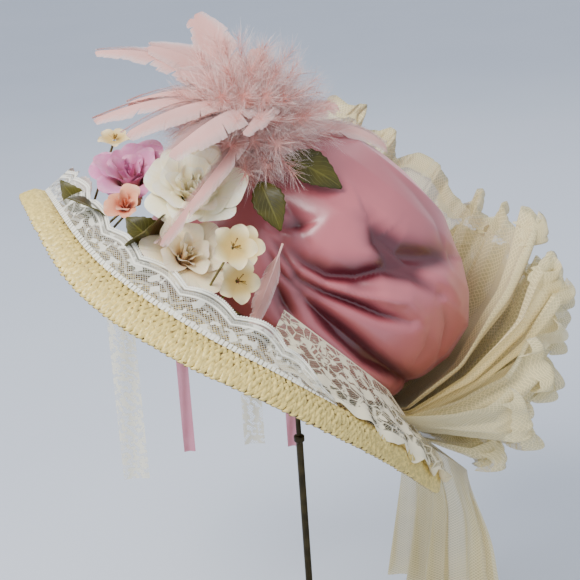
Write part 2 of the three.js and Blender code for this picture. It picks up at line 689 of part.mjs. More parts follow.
place(model, 'stand_base', standBase(), STAND_METAL);
place(model, 'stand_rod', standRod(), STAND_METAL);
place(model, 'stand_head', standHead(), STAND_METAL);
place(hat, 'straw_brim', strawBrim(), STRAW);
place(hat, 'straw_crown', strawCrown(), STRAW);
place(hat, 'satin_pouf', satinPouf(), SATIN);
place(hat, 'lace_ruffle', laceRuffle(), WHITE_LACE);
place(hat, 'lace_overlay', laceOverlay(), IVORY_LACE);
for (const frill of TULLE_FRILLS) place(hat, frill.name, tulleFrill(frill), TULLE);
for (const tail of TULLE_TAILS) place(model, tail.name, tulleTail(tail), TULLE);
for (const strip of STREAMERS) place(model, strip.name, streamer(strip), paint(strip.colour, 0.6));
for (const flower of ROSES) place(hat, flower.name, rose(flower), paint(flower.colour, 0.7));
for (const flower of BLOSSOMS) place(hat, flower.name, blossom(flower), BLOSSOM);
for (const shape of LEAVES) {
  place(hat, shape.name, leaf(shape), shape.name === 'pale_petal' ? PALE_PETAL : LEAF);
}
place(hat, 'feather_spray', featherSpray(), FEATHER);
place(hat, 'hanging_feather', featherBlade(HANGING_FEATHER.root, HANGING_FEATHER), FEATHER);

export default model;
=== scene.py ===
"""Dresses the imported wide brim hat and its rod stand: straw, satin, lace, net, flowers and feathers."""

import math

import bmesh
import bpy
import numpy as np
from mathutils import Matrix, Vector


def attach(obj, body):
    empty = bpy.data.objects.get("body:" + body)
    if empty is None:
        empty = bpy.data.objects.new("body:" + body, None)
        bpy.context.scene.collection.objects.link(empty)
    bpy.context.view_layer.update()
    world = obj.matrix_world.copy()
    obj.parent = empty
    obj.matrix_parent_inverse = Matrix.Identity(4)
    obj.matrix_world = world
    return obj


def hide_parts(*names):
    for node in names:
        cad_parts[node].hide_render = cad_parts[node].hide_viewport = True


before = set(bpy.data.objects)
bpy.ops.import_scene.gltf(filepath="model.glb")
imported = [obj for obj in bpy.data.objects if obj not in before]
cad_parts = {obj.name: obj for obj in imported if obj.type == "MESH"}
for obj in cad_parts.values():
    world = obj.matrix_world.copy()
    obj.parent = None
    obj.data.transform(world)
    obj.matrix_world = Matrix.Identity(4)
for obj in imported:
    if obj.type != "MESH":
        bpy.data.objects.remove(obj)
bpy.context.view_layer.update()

bl_info = {
    "name": "Trimmed Straw Hat",
    "version": (1, 0, 0),
    "blender": (4, 5, 0),
    "location": "View3D > Sidebar > Hat",
    "description": "Builds the visible pieces of a trimmed wide brim hat on a rod stand",
    "category": "Object",
}

# Sizes in millimetres in the hat's own frame, -X front and +Z up through the crown
# Body sizes are the solids' own, and flowers, net and lace are a little fuller here

HAT_PLACE = np.array([-44.0, 0.0, 312.0])
HAT_TILT = math.radians(44)
HAT_LEAN = math.radians(-16.5)
HAT_TURN = np.array(Matrix.Rotation(HAT_TILT, 3, "Y") @ Matrix.Rotation(HAT_LEAN, 3, "X"))
HEAD_LONG, HEAD_WIDE = 96.0, 80.0
BRIM_LONG, BRIM_WIDE = 189.0, 178.0
STRAW_HALF_WALL = 1.2
POUF_WIDTH_SHARE = 0.86
CROWN_CLEAR, CROWN_CLEAR_TOP = 101.5, 118.0
NET_LONG, NET_WIDE = 113.0, 99.0
NET_TURN_BACK = 0.82
TAIL_OVER_BRIM = 0.3
BRIM_FLAT = (1160.0, 112.0)
FEATHER_HEAD = np.array([-100.0, -58.0, 126.0])

# Camera, worked out from where the brim and rod stand in the picture
PICTURE_PX, FOCAL_PX, SENSOR_MM = 580, 1400, 36
CAMERA_PLACE = (0.0009, -0.9842, 0.7072)
CAMERA_PITCH, CAMERA_ROLL = math.radians(20), math.radians(4)
# Each row: name, watts, size and place in metres
LIGHTS = [
    ("window", 36, 0.9, (-0.75, -0.8, 1.6)),
    ("fill", 3, 2.2, (1.5, -0.9, 1.1)),
    ("back", 8, 1.6, (0.3, 1.5, 1.5)),
]
LIGHT_TARGET = (0, 0, 0.33)
WORLD_STRENGTH = 1.05

# Turn from one petal or lock to the next, in radians
GOLDEN_TURN = 2.39996

# Each row: share of the brim's width, height
BRIM_SECTION = [(0, 10), (0.28, 9.5), (0.55, 8), (0.76, 5), (0.88, 1), (0.95, -5), (1, -15)]
# Each row: share of the brim's length from front to back, lift
BRIM_SWAY = [(-1, 2), (-0.75, -17), (-0.35, -14), (0, 0), (0.5, 15), (1, 18)]
# Each row: reach, height
CROWN_SECTION = [(0, 112), (0.5, 110), (0.8, 101), (0.94, 80), (0.99, 46), (1, 12.2)]
# Each row: height, reach, lean to the back
POUF_SECTION = [
    (178, 0, 10), (177, 30, 10), (171, 60, 11), (155, 83, 16), (137, 101, 20), (117, 114, 22),
    (90, 120, 18), (62, 118, 13), (42, 114, 9), (28, 110, 5), (19, 103, 2),
]

# Folds of the satin, as lines of (x, z) on its near side, with depth (below 0 for a ridge) and two widths
SATIN_FOLDS = [
    ([(2, 124), (14, 116), (36, 114), (55, 124), (80, 143)], 18.0, 6.0, 15.0),
    ([(-38, 76), (-17, 73), (1, 76), (19, 88), (33, 103), (55, 112), (80, 116)], 14.0, 4.5, 11.0),
    ([(-16, 62), (6, 66), (28, 72), (52, 78), (74, 87)], 13.0, 3.6, 6.0),
    ([(16, 77), (30, 84), (46, 90)], 7.0, 6.0, 7.0),
    ([(-5, 55), (12, 53), (36, 52), (69, 51), (95, 53), (123, 56)], 18.0, 5.0, 7.0),
    ([(16, 47), (40, 47), (67, 45), (96, 48)], 5.0, 2.4, 3.0),
    ([(-25, 52), (-11, 44), (2, 40)], 9.0, 4.0, 5.0),
    ([(-38, 60), (-26, 46), (-8, 35), (9, 29)], 4.0, 3.0, 5.0),
    ([(-60, 99), (-44, 95), (-27, 87)], 5.0, 4.0, 8.0),
    ([(-46, 73), (-28, 67), (-12, 63)], 7.0, 2.6, 3.4),
    ([(-46, 66), (-28, 59), (-10, 56)], 7.0, 2.6, 3.4),
    ([(-50, 80), (-38, 90), (-26, 104)], 5.0, 3.0, 5.0),
    ([(-4, 168), (24, 165), (52, 159), (72, 148)], 4.0, 4.0, 9.0),
    ([(88, 96), (100, 82), (104, 66)], 3.0, 4.0, 6.0),
    ([(86, 114), (104, 104), (120, 82)], 4.0, 4.0, 6.0),
    ([(16, 108), (41, 115), (76, 128), (100, 124)], -6.0, 6.0, 6.0),
    ([(-20, 68), (6, 72), (28, 80), (60, 98), (78, 96)], -6.0, 3.4, 4.0),
    ([(-34, 96), (-16, 118), (-4, 138)], -3.0, 12.0, 12.0),
]

# Each row: angle, share of the brim that the hem of the ivory lace reaches
LACE_HEM = [
    (-95, 0.78), (-83, 0.85), (-70, 0.92), (-60, 0.97), (-35, 1.03), (0, 1.07), (60, 1.07), (104, 0.78),
]
# Each row: node, start and end angle, gather, ruffles, wave, then a section of (out, height)
TULLE_FRILLS = [
    ("tulle_frill_1", -26, 104, 0, 6, 9, [(0, 14), (24, 40), (35, 88), (30, 150), (12, 212)]),
    ("tulle_frill_2", -42, 70, 6, 6, 11, [(0, 15), (34, 36), (56, 78), (70, 122), (66, 160)]),
    ("tulle_frill_3", -46, 56, 12, 6, 9, [(0, 17), (32, 33), (58, 51), (78, 67), (86, 86)]),
]
# Loose layers of net between the frills, in the same form
NET_FILLS = [
    ("tulle_frill_1", -34, 84, 2, 8, 10, [(0, 14), (28, 38), (46, 84), (52, 138), (42, 188)]),
    ("tulle_frill_1", -36, 74, 5, 7, 11, [(0, 15), (30, 38), (50, 84), (60, 134), (50, 186)]),
    ("tulle_frill_2", -44, 64, 9, 8, 10, [(0, 16), (33, 34), (58, 64), (76, 94), (78, 124)]),
    ("tulle_frill_3", -22, 50, 14, 6, 8, [(0, 18), (28, 27), (50, 36), (68, 44), (76, 58)]),
]
# Each row: node, start and end angle, height of the lower end, spread, splay
TULLE_TAILS = [("tulle_tail_1", -16, 6, 26, 1.8, 14), ("tulle_tail_2", 12, 34, 34, 1.7, -14)]
VEIL = ("tulle_tail_1", -14, 30, 30, 1.5, -2)
# Each row: node, slot, angle, share of the brim, width, height of the lower end
STREAMERS = [
    ("lace_streamer_1", "lace_ribbon", 133, 0.62, 22, 152),
    ("pink_ribbon_1", "pink_ribbon", 104, 0.62, 10, 158),
    ("lace_streamer_2", "lace_ribbon", 76, 0.58, 18, 162),
    ("pink_ribbon_2", "pink_ribbon", 58, 0.5, 10, 168),
]
# Each row: node, slot, place, facing, radius, petals, how far the outer petals open, foot on the brim
ROSES = [
    ("rose_ivory", "ivory_petal", (-107, -95, 62), (-0.4, -0.8, 0.45), 37, 34, 1.35, (-112, -72)),
    ("rose_pink", "pink_petal", (-139, -52, 44), (-0.62, -0.6, 0.5), 34, 24, 1.35, (-134, -36)),
    ("bloom_ivory", "ivory_petal", (-88, -118, 26), (-0.2, -0.8, 0.55), 29, 18, 1.8, (-84, -104)),
    ("bud_peach", "peach_petal", (-136, -86, 29), (-0.5, -0.8, 0.3), 17, 12, 1.2, (-134, -78)),
]
# Each row: node, place, facing, radius, foot on the brim
BLOSSOMS = [
    ("blossom_1", (-74, -155, 50), (-0.1, -0.95, 0.3), 15, (-62, -122)),
    ("blossom_2", (-62, -120, 56), (0, -0.9, 0.4), 14, (-60, -104)),
    ("blossom_3", (-54, -134, 35), (0.2, -0.95, 0.2), 15, (-52, -116)),
    ("blossom_4", (-164, -14, 62), (-0.6, -0.5, 0.6), 12, (-142, 6)),
]
# Each row: node, slot, root, tip, width, foot on the brim or none
LEAVES = [
    ("leaf_1", "leaf", (-106, -101, 20), (-133, -100, 23), 23, (-104, -94)),
    ("leaf_2", "leaf", (-114, -104, 8), (-99, -125, 2), 16, (-112, -98)),
    ("leaf_3", "leaf", (-149, -48, 9), (-163, -25, 15), 15, (-146, -44)),
    ("leaf_4", "leaf", (-138, -77, 12), (-155, -60, 10), 14, (-135, -72)),
    ("leaf_5", "leaf", (-70, -77, 124), (-26, -87, 131), 26, None),
    ("leaf_6", "leaf", (-76, -95, 98), (-46, -107, 80), 22, None),
    ("pale_petal", "pale_petal", (-152, -16, 16), (-168, 2, 20), 22, (-146, -14)),
]
# Second blades below some leaves: turn and size
UNDER_LEAVES = {"leaf_1": (1.2, 1.5), "leaf_3": (1.0, 1.1), "leaf_4": (1.2, 1.5)}
# Each row: tip, arch, width
FEATHER_BLADES = [
    ((-214, -32, 102), 40, 26), ((-176, -34, 164), 10, 28), ((-110, -124, 112), 36, 24),
    ((-142, -136, 70), 52, 36), ((-112, -146, 22), 66, 16), ((-188, -64, 62), 44, 24),
    ((-168, -98, 66), 50, 32), ((-58, -50, 180), 14, 24), ((-4, -20, 185), 26, 24),
]
# Shorter vanes between the blades, in the same form
FEATHER_FILLS = [
    ((-188, -36, 128), 26, 30), ((-162, -60, 126), 20, 32), ((-150, -86, 92), 34, 32),
    ((-138, -112, 88), 32, 30), ((-130, -56, 172), 6, 26), ((-176, -52, 86), 40, 28),
    ((-74, -84, 158), 10, 22),
]
# What the fluff keeps clear of: centre and radius
FLUFF_CLEAR = [((-50, -82, 126), 18), ((-61, -101, 89), 14), ((-105, -95, 62), 38)]
POUF_ROUND = (np.array([16.0, 0, 78]), np.array([126.0, 110, 106]))


def srgb(red, green, blue):
    """A colour given as it looks on a screen, as linear values."""
    shares = [c / 255 for c in (red, green, blue)]
    return tuple(c / 12.92 if c < 0.04 else ((c + 0.055) / 1.055) ** 2.4 for c in shares)


def colour_property(name, description, default):
    return bpy.props.FloatVectorProperty(
        name=name, description=description, default=default, size=3, min=0, max=1, subtype="COLOR")


class HatSettings(bpy.types.PropertyGroup):
    """Sizes and colours of the dressed hat."""

    stitch_pitch: bpy.props.FloatProperty(
        name="Stitch pitch", description="Distance between straw stitches in millimetres", default=4.4)
    braid_row: bpy.props.FloatProperty(
        name="Braid row", description="Width of one row of plaited straw in millimetres", default=8.5)
    net_pitch: bpy.props.FloatProperty(
        name="Net pitch", description="Size of the holes in the net in millimetres", default=2.6)
    scallop: bpy.props.FloatProperty(
        name="Scallop", description="Length of one scallop of the white lace in millimetres", default=39)
    fluff_locks: bpy.props.IntProperty(
        name="Fluff locks", description="Number of soft locks in the feather spray", default=150)
    straw: colour_property("Straw", "Colour of the lit straw", srgb(224, 198, 114))
    # Painted shade: straw colour for the hollows between the strands and for the tucked ends of the stitches
    straw_painted_shade: colour_property("Straw shade", "Colour between the straws", srgb(96, 62, 16))
    satin: colour_property("Satin", "Colour of the satin", srgb(190, 100, 106))
    # Painted shade: satin colour for the deep folds, darker and more saturated
    satin_painted_shade: colour_property("Satin shade", "Colour deep in the folds", srgb(84, 4, 22))
    white_lace: colour_property("White lace", "Colour of the white lace", srgb(244, 240, 222))
    ivory_lace: colour_property("Ivory lace", "Colour of the ivory lace", srgb(242, 230, 194))
    tulle: colour_property("Net", "Colour of the gathered net", srgb(234, 218, 164))
    leaf: colour_property("Leaf", "Colour of the leaves", srgb(74, 68, 8))
    feather: colour_property("Feather", "Colour of the feathers", srgb(244, 184, 170))
    metal: colour_property("Stand", "Colour of the stand", srgb(45, 38, 20))


def settings():
    return bpy.context.scene.trimmed_hat


# Places

def ease(t):
    return t * t * (3 - 2 * t)


def unit(values):
    values = np.asarray(values, float)
    return values / np.linalg.norm(values, axis=-1, keepdims=True)


def look_up(table, position):
    """The second column of a table at a position along its first, on a smooth curve through the rows."""
    keys = np.array([row[0] for row in table], float)
    values = np.array([row[1] for row in table], float)
    slopes = np.gradient(values, keys)
    position = np.clip(position, keys[0], keys[-1])
    row = np.clip(np.searchsorted(keys, position) - 1, 0, len(keys) - 2)
    span = keys[row + 1] - keys[row]
    t = (position - keys[row]) / span
    bend = span * t * (1 - t) * (slopes[row] * (1 - t) - slopes[row + 1] * t)
    return values[row] + (values[row + 1] - values[row]) * ease(t) + bend


def along_rows(rows, column, t):
    """A column of a table over equal steps of t."""
    values = np.array([row[column] for row in rows], float)
    return np.interp(t, np.linspace(0, 1, len(values)), values)


def to_world(points):
    """Points of the hat's frame in millimetres, as metres in the object's frame."""
    return (np.asarray(points, float) @ HAT_TURN.T + HAT_PLACE) * 0.001


def stack(x, y, z):
    return np.stack(np.broadcast_arrays(x, y, z), -1).astype(float)


def brim_point(angle, share, lift=0.0):
    x = (HEAD_LONG + (BRIM_LONG - HEAD_LONG) * share) * np.cos(angle)
    y = (HEAD_WIDE + (BRIM_WIDE - HEAD_WIDE) * share) * np.sin(angle)
    sway = look_up(BRIM_SWAY, x / BRIM_LONG) * share * share
    return stack(x, y, look_up(BRIM_SECTION, share) + sway + lift)


def brim_normal(angle, share):
    step = 1e-3
    around = brim_point(angle + step, share) - brim_point(angle - step, share)
    inner = np.clip(share - step, 0, 1)
    outer = np.clip(share + step, 0, 1)
    return unit(np.cross(brim_point(angle, outer) - brim_point(angle, inner), around))


def brim_height(x, y):
    """The height of the brim over a place, found by halving."""
    low, high = 0.0, 1.0
    for _ in range(24):
        share = (low + high) / 2
        across = x / (HEAD_LONG + (BRIM_LONG - HEAD_LONG) * share)
        along = y / (HEAD_WIDE + (BRIM_WIDE - HEAD_WIDE) * share)
        low, high = (share, high) if across ** 2 + along ** 2 > 1 else (low, share)
    across = x / (HEAD_LONG + (BRIM_LONG - HEAD_LONG) * low)
    along = y / (HEAD_WIDE + (BRIM_WIDE - HEAD_WIDE) * low)
    angle = math.atan2(along, across)
    return float(brim_point(np.array(angle), np.array(low))[2]) + STRAW_HALF_WALL


def line_distance(x, z, line):
    """Distance from points to a line of points, the side they lie on, and how far along they are."""
    line = np.array(line, float)
    best = np.full(x.shape, 1e9)
    side = np.zeros(x.shape)
    along = np.zeros(x.shape)
    spans = np.linalg.norm(np.diff(line, axis=0), axis=1)
    total = spans.sum()
    before = 0.0
    for (ax, az), (bx, bz), span in zip(line[:-1], line[1:], spans):
        dx, dz = bx - ax, bz - az
        raw = ((x - ax) * dx + (z - az) * dz) / span ** 2
        share = np.clip(raw, 0, 1)
        distance = np.hypot(x - ax - share * dx, z - az - share * dz)
        nearer = distance < best
        best = np.where(nearer, distance, best)
        side = np.where(nearer, np.sign((z - az) * dx - (x - ax) * dz), side)
        along = np.where(nearer, (before + share * span) / total, along)
        before += span
    return best, side, along


def fold_depth(x, z):
    """How deep the folds press the satin in at places on it."""
    depth = np.zeros(x.shape)
    for line, deep, below, above in SATIN_FOLDS:
        distance, side, along = line_distance(x, z, line)
        width = np.where(side > 0, above, below)
        ends = 0.25 + 0.75 * np.sin(np.pi * np.clip(along, 0.02, 0.98)) ** 0.7
        depth += deep * ends * np.exp(-(distance / width) ** 1.5)
    return depth


# Meshes

def finish_piece(piece, node, material):
    piece.data.materials.append(material)
    for polygon in piece.data.polygons:
        polygon.use_smooth = True
    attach(piece, "root")
    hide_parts(node)
    return piece


def to_object(name, bm):
    mesh = bpy.data.meshes.new(name)
    bm.to_mesh(mesh)
    bm.free()
    piece = bpy.data.objects.new(name, mesh)
    bpy.context.scene.collection.objects.link(piece)
    return piece


def mapped_grid(columns, rows, shape, size=(1, 1), closed=False, values=None):
    """A grid whose points are put where shape says, with a map of the cloth's own size in millimetres."""
    bm = bmesh.new()
    bm.loops.layers.uv.new("cloth")
    bmesh.ops.create_grid(bm, x_segments=columns, y_segments=rows, size=0.5, calc_uvs=True)
    place = np.array([v.co for v in bm.verts]) + 0.5
    points = shape(place[:, 0], place[:, 1])
    for vert, point in zip(bm.verts, points):
        vert.co = point
    layer = bm.loops.layers.uv.active
    for face in bm.faces:
        for loop in face.loops:
            loop[layer].uv.x *= size[0]
            loop[layer].uv.y *= size[1]
    if values is not None:
        shade = bm.verts.layers.float.new("shade")
        for vert, value in zip(bm.verts, values(place[:, 0], place[:, 1])):
            vert[shade] = value
    if closed:
        bmesh.ops.remove_doubles(bm, verts=bm.verts, dist=1e-7)
    return bm


def strips(count, across, along, shape):
    """Many strips cut from one grid. shape takes strip numbers, sides from -1 to 1 and shares along."""
    bm = bmesh.new()
    wide = across + 1
    bmesh.ops.create_grid(bm, x_segments=count * wide, y_segments=along, size=0.5)
    place = np.array([v.co for v in bm.verts]) + 0.5
    column = np.rint(place[:, 0] * count * wide).astype(int)
    gaps = [f for f in bm.faces if int((f.calc_center_median().x + 0.5) * count * wide) % wide == across]
    index = np.minimum(column // wide, count - 1)
    side = 2 * (column - index * wide) / across - 1
    points = shape(index, np.clip(side, -1, 1), place[:, 1])
    shade = bm.verts.layers.float.new("shade")
    for vert, point, share in zip(bm.verts, points, place[:, 1]):
        vert.co = point
        vert[shade] = share
    bmesh.ops.delete(bm, geom=gaps, context="FACES")
    return bm


def add_to(bm, other):
    """Joins one bmesh to another."""
    mesh = bpy.data.meshes.new("joined")
    other.to_mesh(mesh)
    other.free()
    bm.from_mesh(mesh)
    bpy.data.meshes.remove(mesh)
    return bm


def thicken(piece, thickness):
    wall = piece.modifiers.new("Wall", "SOLIDIFY")
    wall.thickness = thickness
    wall.offset = 0
    return piece


def turned(name, profile, steps=64):
    """A round piece spun from a profile of radius and height in millimetres."""
    bm = bmesh.new()
    verts = [bm.verts.new((r * 0.001, 0, z * 0.001)) for r, z in profile]
    edges = [bm.edges.new(pair) for pair in zip(verts, verts[1:])]
    bmesh.ops.spin(
        bm, geom=verts + edges, cent=(0, 0, 0), axis=(0, 0, 1), angle=math.tau, steps=steps, use_merge=True)
    bmesh.ops.remove_doubles(bm, verts=bm.verts, dist=1e-6)
    bmesh.ops.recalc_face_normals(bm, faces=bm.faces)
    return to_object(name, bm)


def stem_mesh(start, foot, radius):
    """A thin wire from the back of a flower or leaf to its foot on the brim."""
    top = np.asarray(start, float)
    bottom = np.array([foot[0], foot[1], brim_height(*foot) + 0.8])

    def shape(s, t):
        axis = unit(bottom - top)
        side = unit(np.cross(axis, [0.3, 0.2, 0.9]))
        up = np.cross(axis, side)
        turn = s[:, None] * math.tau
        sag = np.sin(math.pi * t)[:, None] * np.array([0, 0, -1.2])
        ring = (np.cos(turn) * side + np.sin(turn) * up) * radius
        return to_world(top + (bottom - top) * t[:, None] + ring + sag)

    return mapped_grid(6, 6, shape, closed=True)


# Finishes

class Value:
    """A socket that takes part in arithmetic by adding Math nodes."""

    def __init__(self, finish, socket):
        self.finish = finish
        self.socket = socket

    def __add__(self, other):
        return self.finish.math("ADD", self, other)

    def __radd__(self, other):
        return self.finish.math("ADD", other, self)

    def __sub__(self, other):
        return self.finish.math("SUBTRACT", self, other)

    def __rsub__(self, other):
        return self.finish.math("SUBTRACT", other, self)

    def __mul__(self, other):
        return self.finish.math("MULTIPLY", self, other)

    def __rmul__(self, other):
        return self.finish.math("MULTIPLY", other, self)

    def __truediv__(self, other):
        return self.finish.math("DIVIDE", self, other)

    def __pow__(self, other):
        return self.finish.math("POWER", self, other)

    def sine(self):
        return self.finish.math("SINE", self)

    def size(self):
        return self.finish.math("ABSOLUTE", self)

    def floor(self):
        return self.finish.math("FLOOR", self)

    def fraction(self):
        return self.finish.math("FRACT", self)

    def larger(self, other):
        return self.finish.math("MAXIMUM", self, other)

    def smaller(self, other):
        return self.finish.math("MINIMUM", self, other)

    def between(self, low, high):
        """0 below low and 1 above high, eased."""
        sockets = {"Value": self, "From Min": low, "From Max": high}
        kind = {"interpolation_type": "SMOOTHSTEP"}
        return Value(self.finish, self.finish.node("ShaderNodeMapRange", kind, sockets).outputs["Result"])


class Finish:
    """A material made of nodes round one Principled shader."""

    def __init__(self, name, **sockets):
        self.material = bpy.data.materials.new(name)
        self.material.use_nodes = True
        self.tree = self.material.node_tree
        self.shader = self.tree.nodes["Principled BSDF"]
        self.set(**sockets)

    def fill(self, socket, value):
        if isinstance(value, Value):
            value = value.socket
        if isinstance(value, bpy.types.NodeSocket):
            self.tree.links.new(value, socket)
        elif isinstance(value, (tuple, list)) and len(value) == 3 and socket.type == "RGBA":
            socket.default_value = (*value, 1)
        else:
            socket.default_value = value

    def node(self, kind, choices=None, sockets=None):
        made = self.tree.nodes.new(kind)
        for key, value in (choices or {}).items():
            setattr(made, key, value)
        for key, value in (sockets or {}).items():
            self.fill(made.inputs[key], value)
        return made

    def set(self, **sockets):
        for key, value in sockets.items():
            self.fill(self.shader.inputs[key.replace("_", " ")], value)
        return self

    def math(self, operation, first, second=None):
        sockets = {0: first}
        if second is not None:
            sockets[1] = second
        return Value(self, self.node("ShaderNodeMath", {"operation": operation}, sockets).outputs[0])

    def cloth(self):
        """The two directions of the piece's own map, in millimetres."""
        made = self.node("ShaderNodeSeparateXYZ", None, {0: self.node("ShaderNodeUVMap").outputs["UV"]})
        return Value(self, made.outputs["X"]), Value(self, made.outputs["Y"])

    def shade(self):
        made = self.node("ShaderNodeAttribute", {"attribute_name": "shade"})
        return Value(self, made.outputs["Fac"])

    def place(self):
        return self.node("ShaderNodeTexCoord").outputs["Object"]

    def uv(self):
        return self.node("ShaderNodeUVMap").outputs["UV"]

    def noise(self, scale, detail=3.0, vector=None):
        sockets = {"Vector": vector or self.place(), "Scale": scale, "Detail": detail}
        return Value(self, self.node("ShaderNodeTexNoise", None, sockets).outputs["Fac"])

    def cells(self, first, second):
        """A number that differs from cell to cell of a pattern."""
        joined = self.node("ShaderNodeCombineXYZ", None, {"X": first, "Y": second})
        sockets = {"Vector": joined.outputs[0]}
        noise = self.node("ShaderNodeTexWhiteNoise", {"noise_dimensions": "2D"}, sockets)
        return Value(self, noise.outputs["Value"])

    def mix(self, share, first, second):
        made = self.node("ShaderNodeMix", {"data_type": "RGBA"})
        self.fill(made.inputs["Factor"], share)
        self.fill(made.inputs[6], first)
        self.fill(made.inputs[7], second)
        return made.outputs[2]

    def relief(self, height, strength, distance):
        sockets = {"Height": height, "Strength": strength, "Distance": distance}
        return self.node("ShaderNodeBump", None, sockets).outputs["Normal"]


def scaled(colour, amount):
    return tuple(c * amount for c in colour)


def straw_finish():
    s = settings()
    f = Finish("plaited_straw", Roughness=0.42, Sheen_Weight=0.1)
    u, v = f.cloth()
    row = v / s.braid_row
    inside = row.fraction()
    lean = (inside - 0.5).size() * 1.6
    strand = u / s.stitch_pitch + lean
    profile = (strand.fraction() * math.pi).sine()
    rows = (inside * math.pi).sine()
    height = (profile ** 0.6) * (rows ** 0.4)
    tint = f.cells(strand.floor(), row.floor())
    pale = f.mix(tint, scaled(s.straw, 0.78), tuple(min(1, c * 1.22) for c in s.straw))
    # Painted shade: the low places between strands and rows take the darker straw shade colour
    colour = f.mix(height.between(0.25, 0.8), tuple(s.straw_painted_shade), pale)
    return f.set(Base_Color=colour, Normal=f.relief(height, 0.9, 0.0016)).material


def grain_finish():
    s = settings()
    f = Finish("straw_grain", Roughness=0.36, Coat_Weight=0.15)
    share = f.shade()
    ends = (share * math.pi).sine()
    wear = f.noise(420, 2)
    pale = f.mix(wear.between(0.3, 0.75), scaled(s.straw, 0.85), tuple(min(1, c * 1.3) for c in s.straw))
    # Painted shade: each raised stitch darkens towards both ends, where it tucks under the straw
    colour = f.mix(ends.between(0.05, 0.55), tuple(s.straw_painted_shade), pale)
    return f.set(Base_Color=colour, Normal=f.relief(f.noise(1600, 2), 0.25, 0.0004)).material


def satin_finish():
    s = settings()
    f = Finish("satin", Roughness=0.35, Sheen_Weight=0.5, Sheen_Roughness=0.3, Anisotropic=0.35)
    f.set(Sheen_Tint=(*srgb(255, 204, 204), 1), Specular_IOR_Level=0.95)
    deep = f.shade()
    cloud = f.noise(18, 3)
    lit = f.mix(cloud.between(0.35, 0.7), scaled(s.satin, 0.94), tuple(min(1, c * 1.06) for c in s.satin))
    # Painted shade: the satin darkens towards the deep wine colour where the folds press in deepest
    colour = f.mix(deep.between(1.0, 10.5), lit, tuple(s.satin_painted_shade))
    weave = f.noise(900, 2)
    return f.set(Base_Color=colour, Normal=f.relief(weave, 0.05, 0.0005)).material


def net_threads(f, u, v, pitch):
    """1 on the threads of a diamond net and 0 in its holes."""
    first = ((u + v) * (math.pi / pitch)).sine().size()
    second = ((u - v) * (math.pi / pitch)).sine().size()
    return 1 - first.smaller(second).between(0.22, 0.42)


def white_lace_finish():
    s = settings()
    f = Finish("white_lace", Roughness=0.75, Sheen_Weight=0.2)
    u, v = f.cloth()
    arch = (u * (math.pi / s.scallop)).sine().size()
    edge = 22.5 + arch * 5.0
    below = edge - v
    picot = (u * (math.pi / 1.7)).sine().size() * 1.3
    inside = (below + picot - 0.9).between(0, 0.3)
    cord = below.between(1.6, 2.0) * (1 - below.between(3.0, 3.4))
    slit = below.between(3.3, 3.6) * (1 - below.between(4.4, 4.8))
    band = 1 - below.between(8.0, 9.5)
    ripples = (below * 1.9).sine().between(-0.2, 0.7)
    fans = (below * 0.9 + arch * 4).sine().between(0.45, 0.8)
    flowers = f.noise(0.16, 1, f.uv()).between(0.54, 0.6)
    foot = 1 - v.between(3.4, 4.2)
    eyelets = (u * (math.pi / 3.1)).sine().size().between(0.25, 0.5) * foot
    threads = net_threads(f, u, v, 2.1) * 0.62
    body = threads.larger(flowers * 0.8).larger(fans * 0.4).larger(band * (0.4 + ripples * 0.55))
    solid = body.larger(cord).larger(eyelets) * (1 - slit * 0.75)
    colour = f.mix(solid, scaled(s.white_lace, 0.8), tuple(s.white_lace))
    return f.set(Base_Color=colour, Alpha=solid * inside, Normal=f.relief(solid, 0.5, 0.0006)).material


def ivory_lace_finish():
    s = settings()
    f = Finish("ivory_lace", Roughness=0.75, Sheen_Weight=0.2)
    u, v = f.cloth()
    sockets = {"Vector": f.uv(), "Scale": 0.11}
    petals = f.node("ShaderNodeTexVoronoi", {"feature": "DISTANCE_TO_EDGE"}, sockets)
    veins = 1 - Value(f, petals.outputs["Distance"]).between(0.03, 0.09)
    flowers = f.noise(0.08, 2, f.uv()).between(0.5, 0.56)
    threads = net_threads(f, u, v, 2.2) * 0.6
    hem = v.between(66, 68)
    arch = (u * (math.pi / 26)).sine().size()
    edge = (70.0 + arch * 5.0 - v).between(0, 0.5)
    inner = 1 - v.between(1.6, 2.2)
    solid = threads.larger(flowers).larger(veins * 0.9).larger(hem).larger(inner)
    colour = f.mix(solid, scaled(s.ivory_lace, 0.78), tuple(s.ivory_lace))
    return f.set(Base_Color=colour, Alpha=solid * edge, Normal=f.relief(solid, 0.5, 0.0006)).material


def ribbon_lace_finish():
    s = settings()
    f = Finish("ribbon_lace", Roughness=0.75)
    u, v = f.cloth()
    flowers = f.noise(0.2, 2, f.uv()).between(0.45, 0.52)
    solid = (net_threads(f, u, v, 2.4) * 0.7).larger(flowers)
    return f.set(Base_Color=tuple(s.white_lace), Alpha=solid, Normal=f.relief(solid, 0.4, 0.0005)).material


def tulle_finish():
    s = settings()
    f = Finish("net", Roughness=0.6, Sheen_Weight=0.3)
    u, v = f.cloth()
    threads = net_threads(f, u, v, s.net_pitch)
    cloud = f.noise(14, 2).between(0.3, 0.7)
    alpha = 0.54 + cloud * 0.12 + threads * 0.34
    colour = f.mix(cloud, scaled(s.tulle, 0.9), tuple(s.tulle))
    return f.set(Base_Color=colour, Alpha=alpha, Normal=f.relief(threads, 0.3, 0.0004)).material


def ribbon_finish():
    f = Finish("pink_ribbon", Roughness=0.35, Sheen_Weight=0.3)
    v = f.cloth()[1]
    ribs = (v * (math.pi / 0.8)).sine()
    cloud = f.noise(60, 2)
    colour = f.mix(cloud, srgb(205, 120, 142), srgb(226, 158, 176))
    return f.set(Base_Color=colour, Normal=f.relief(ribs, 0.15, 0.0003)).material


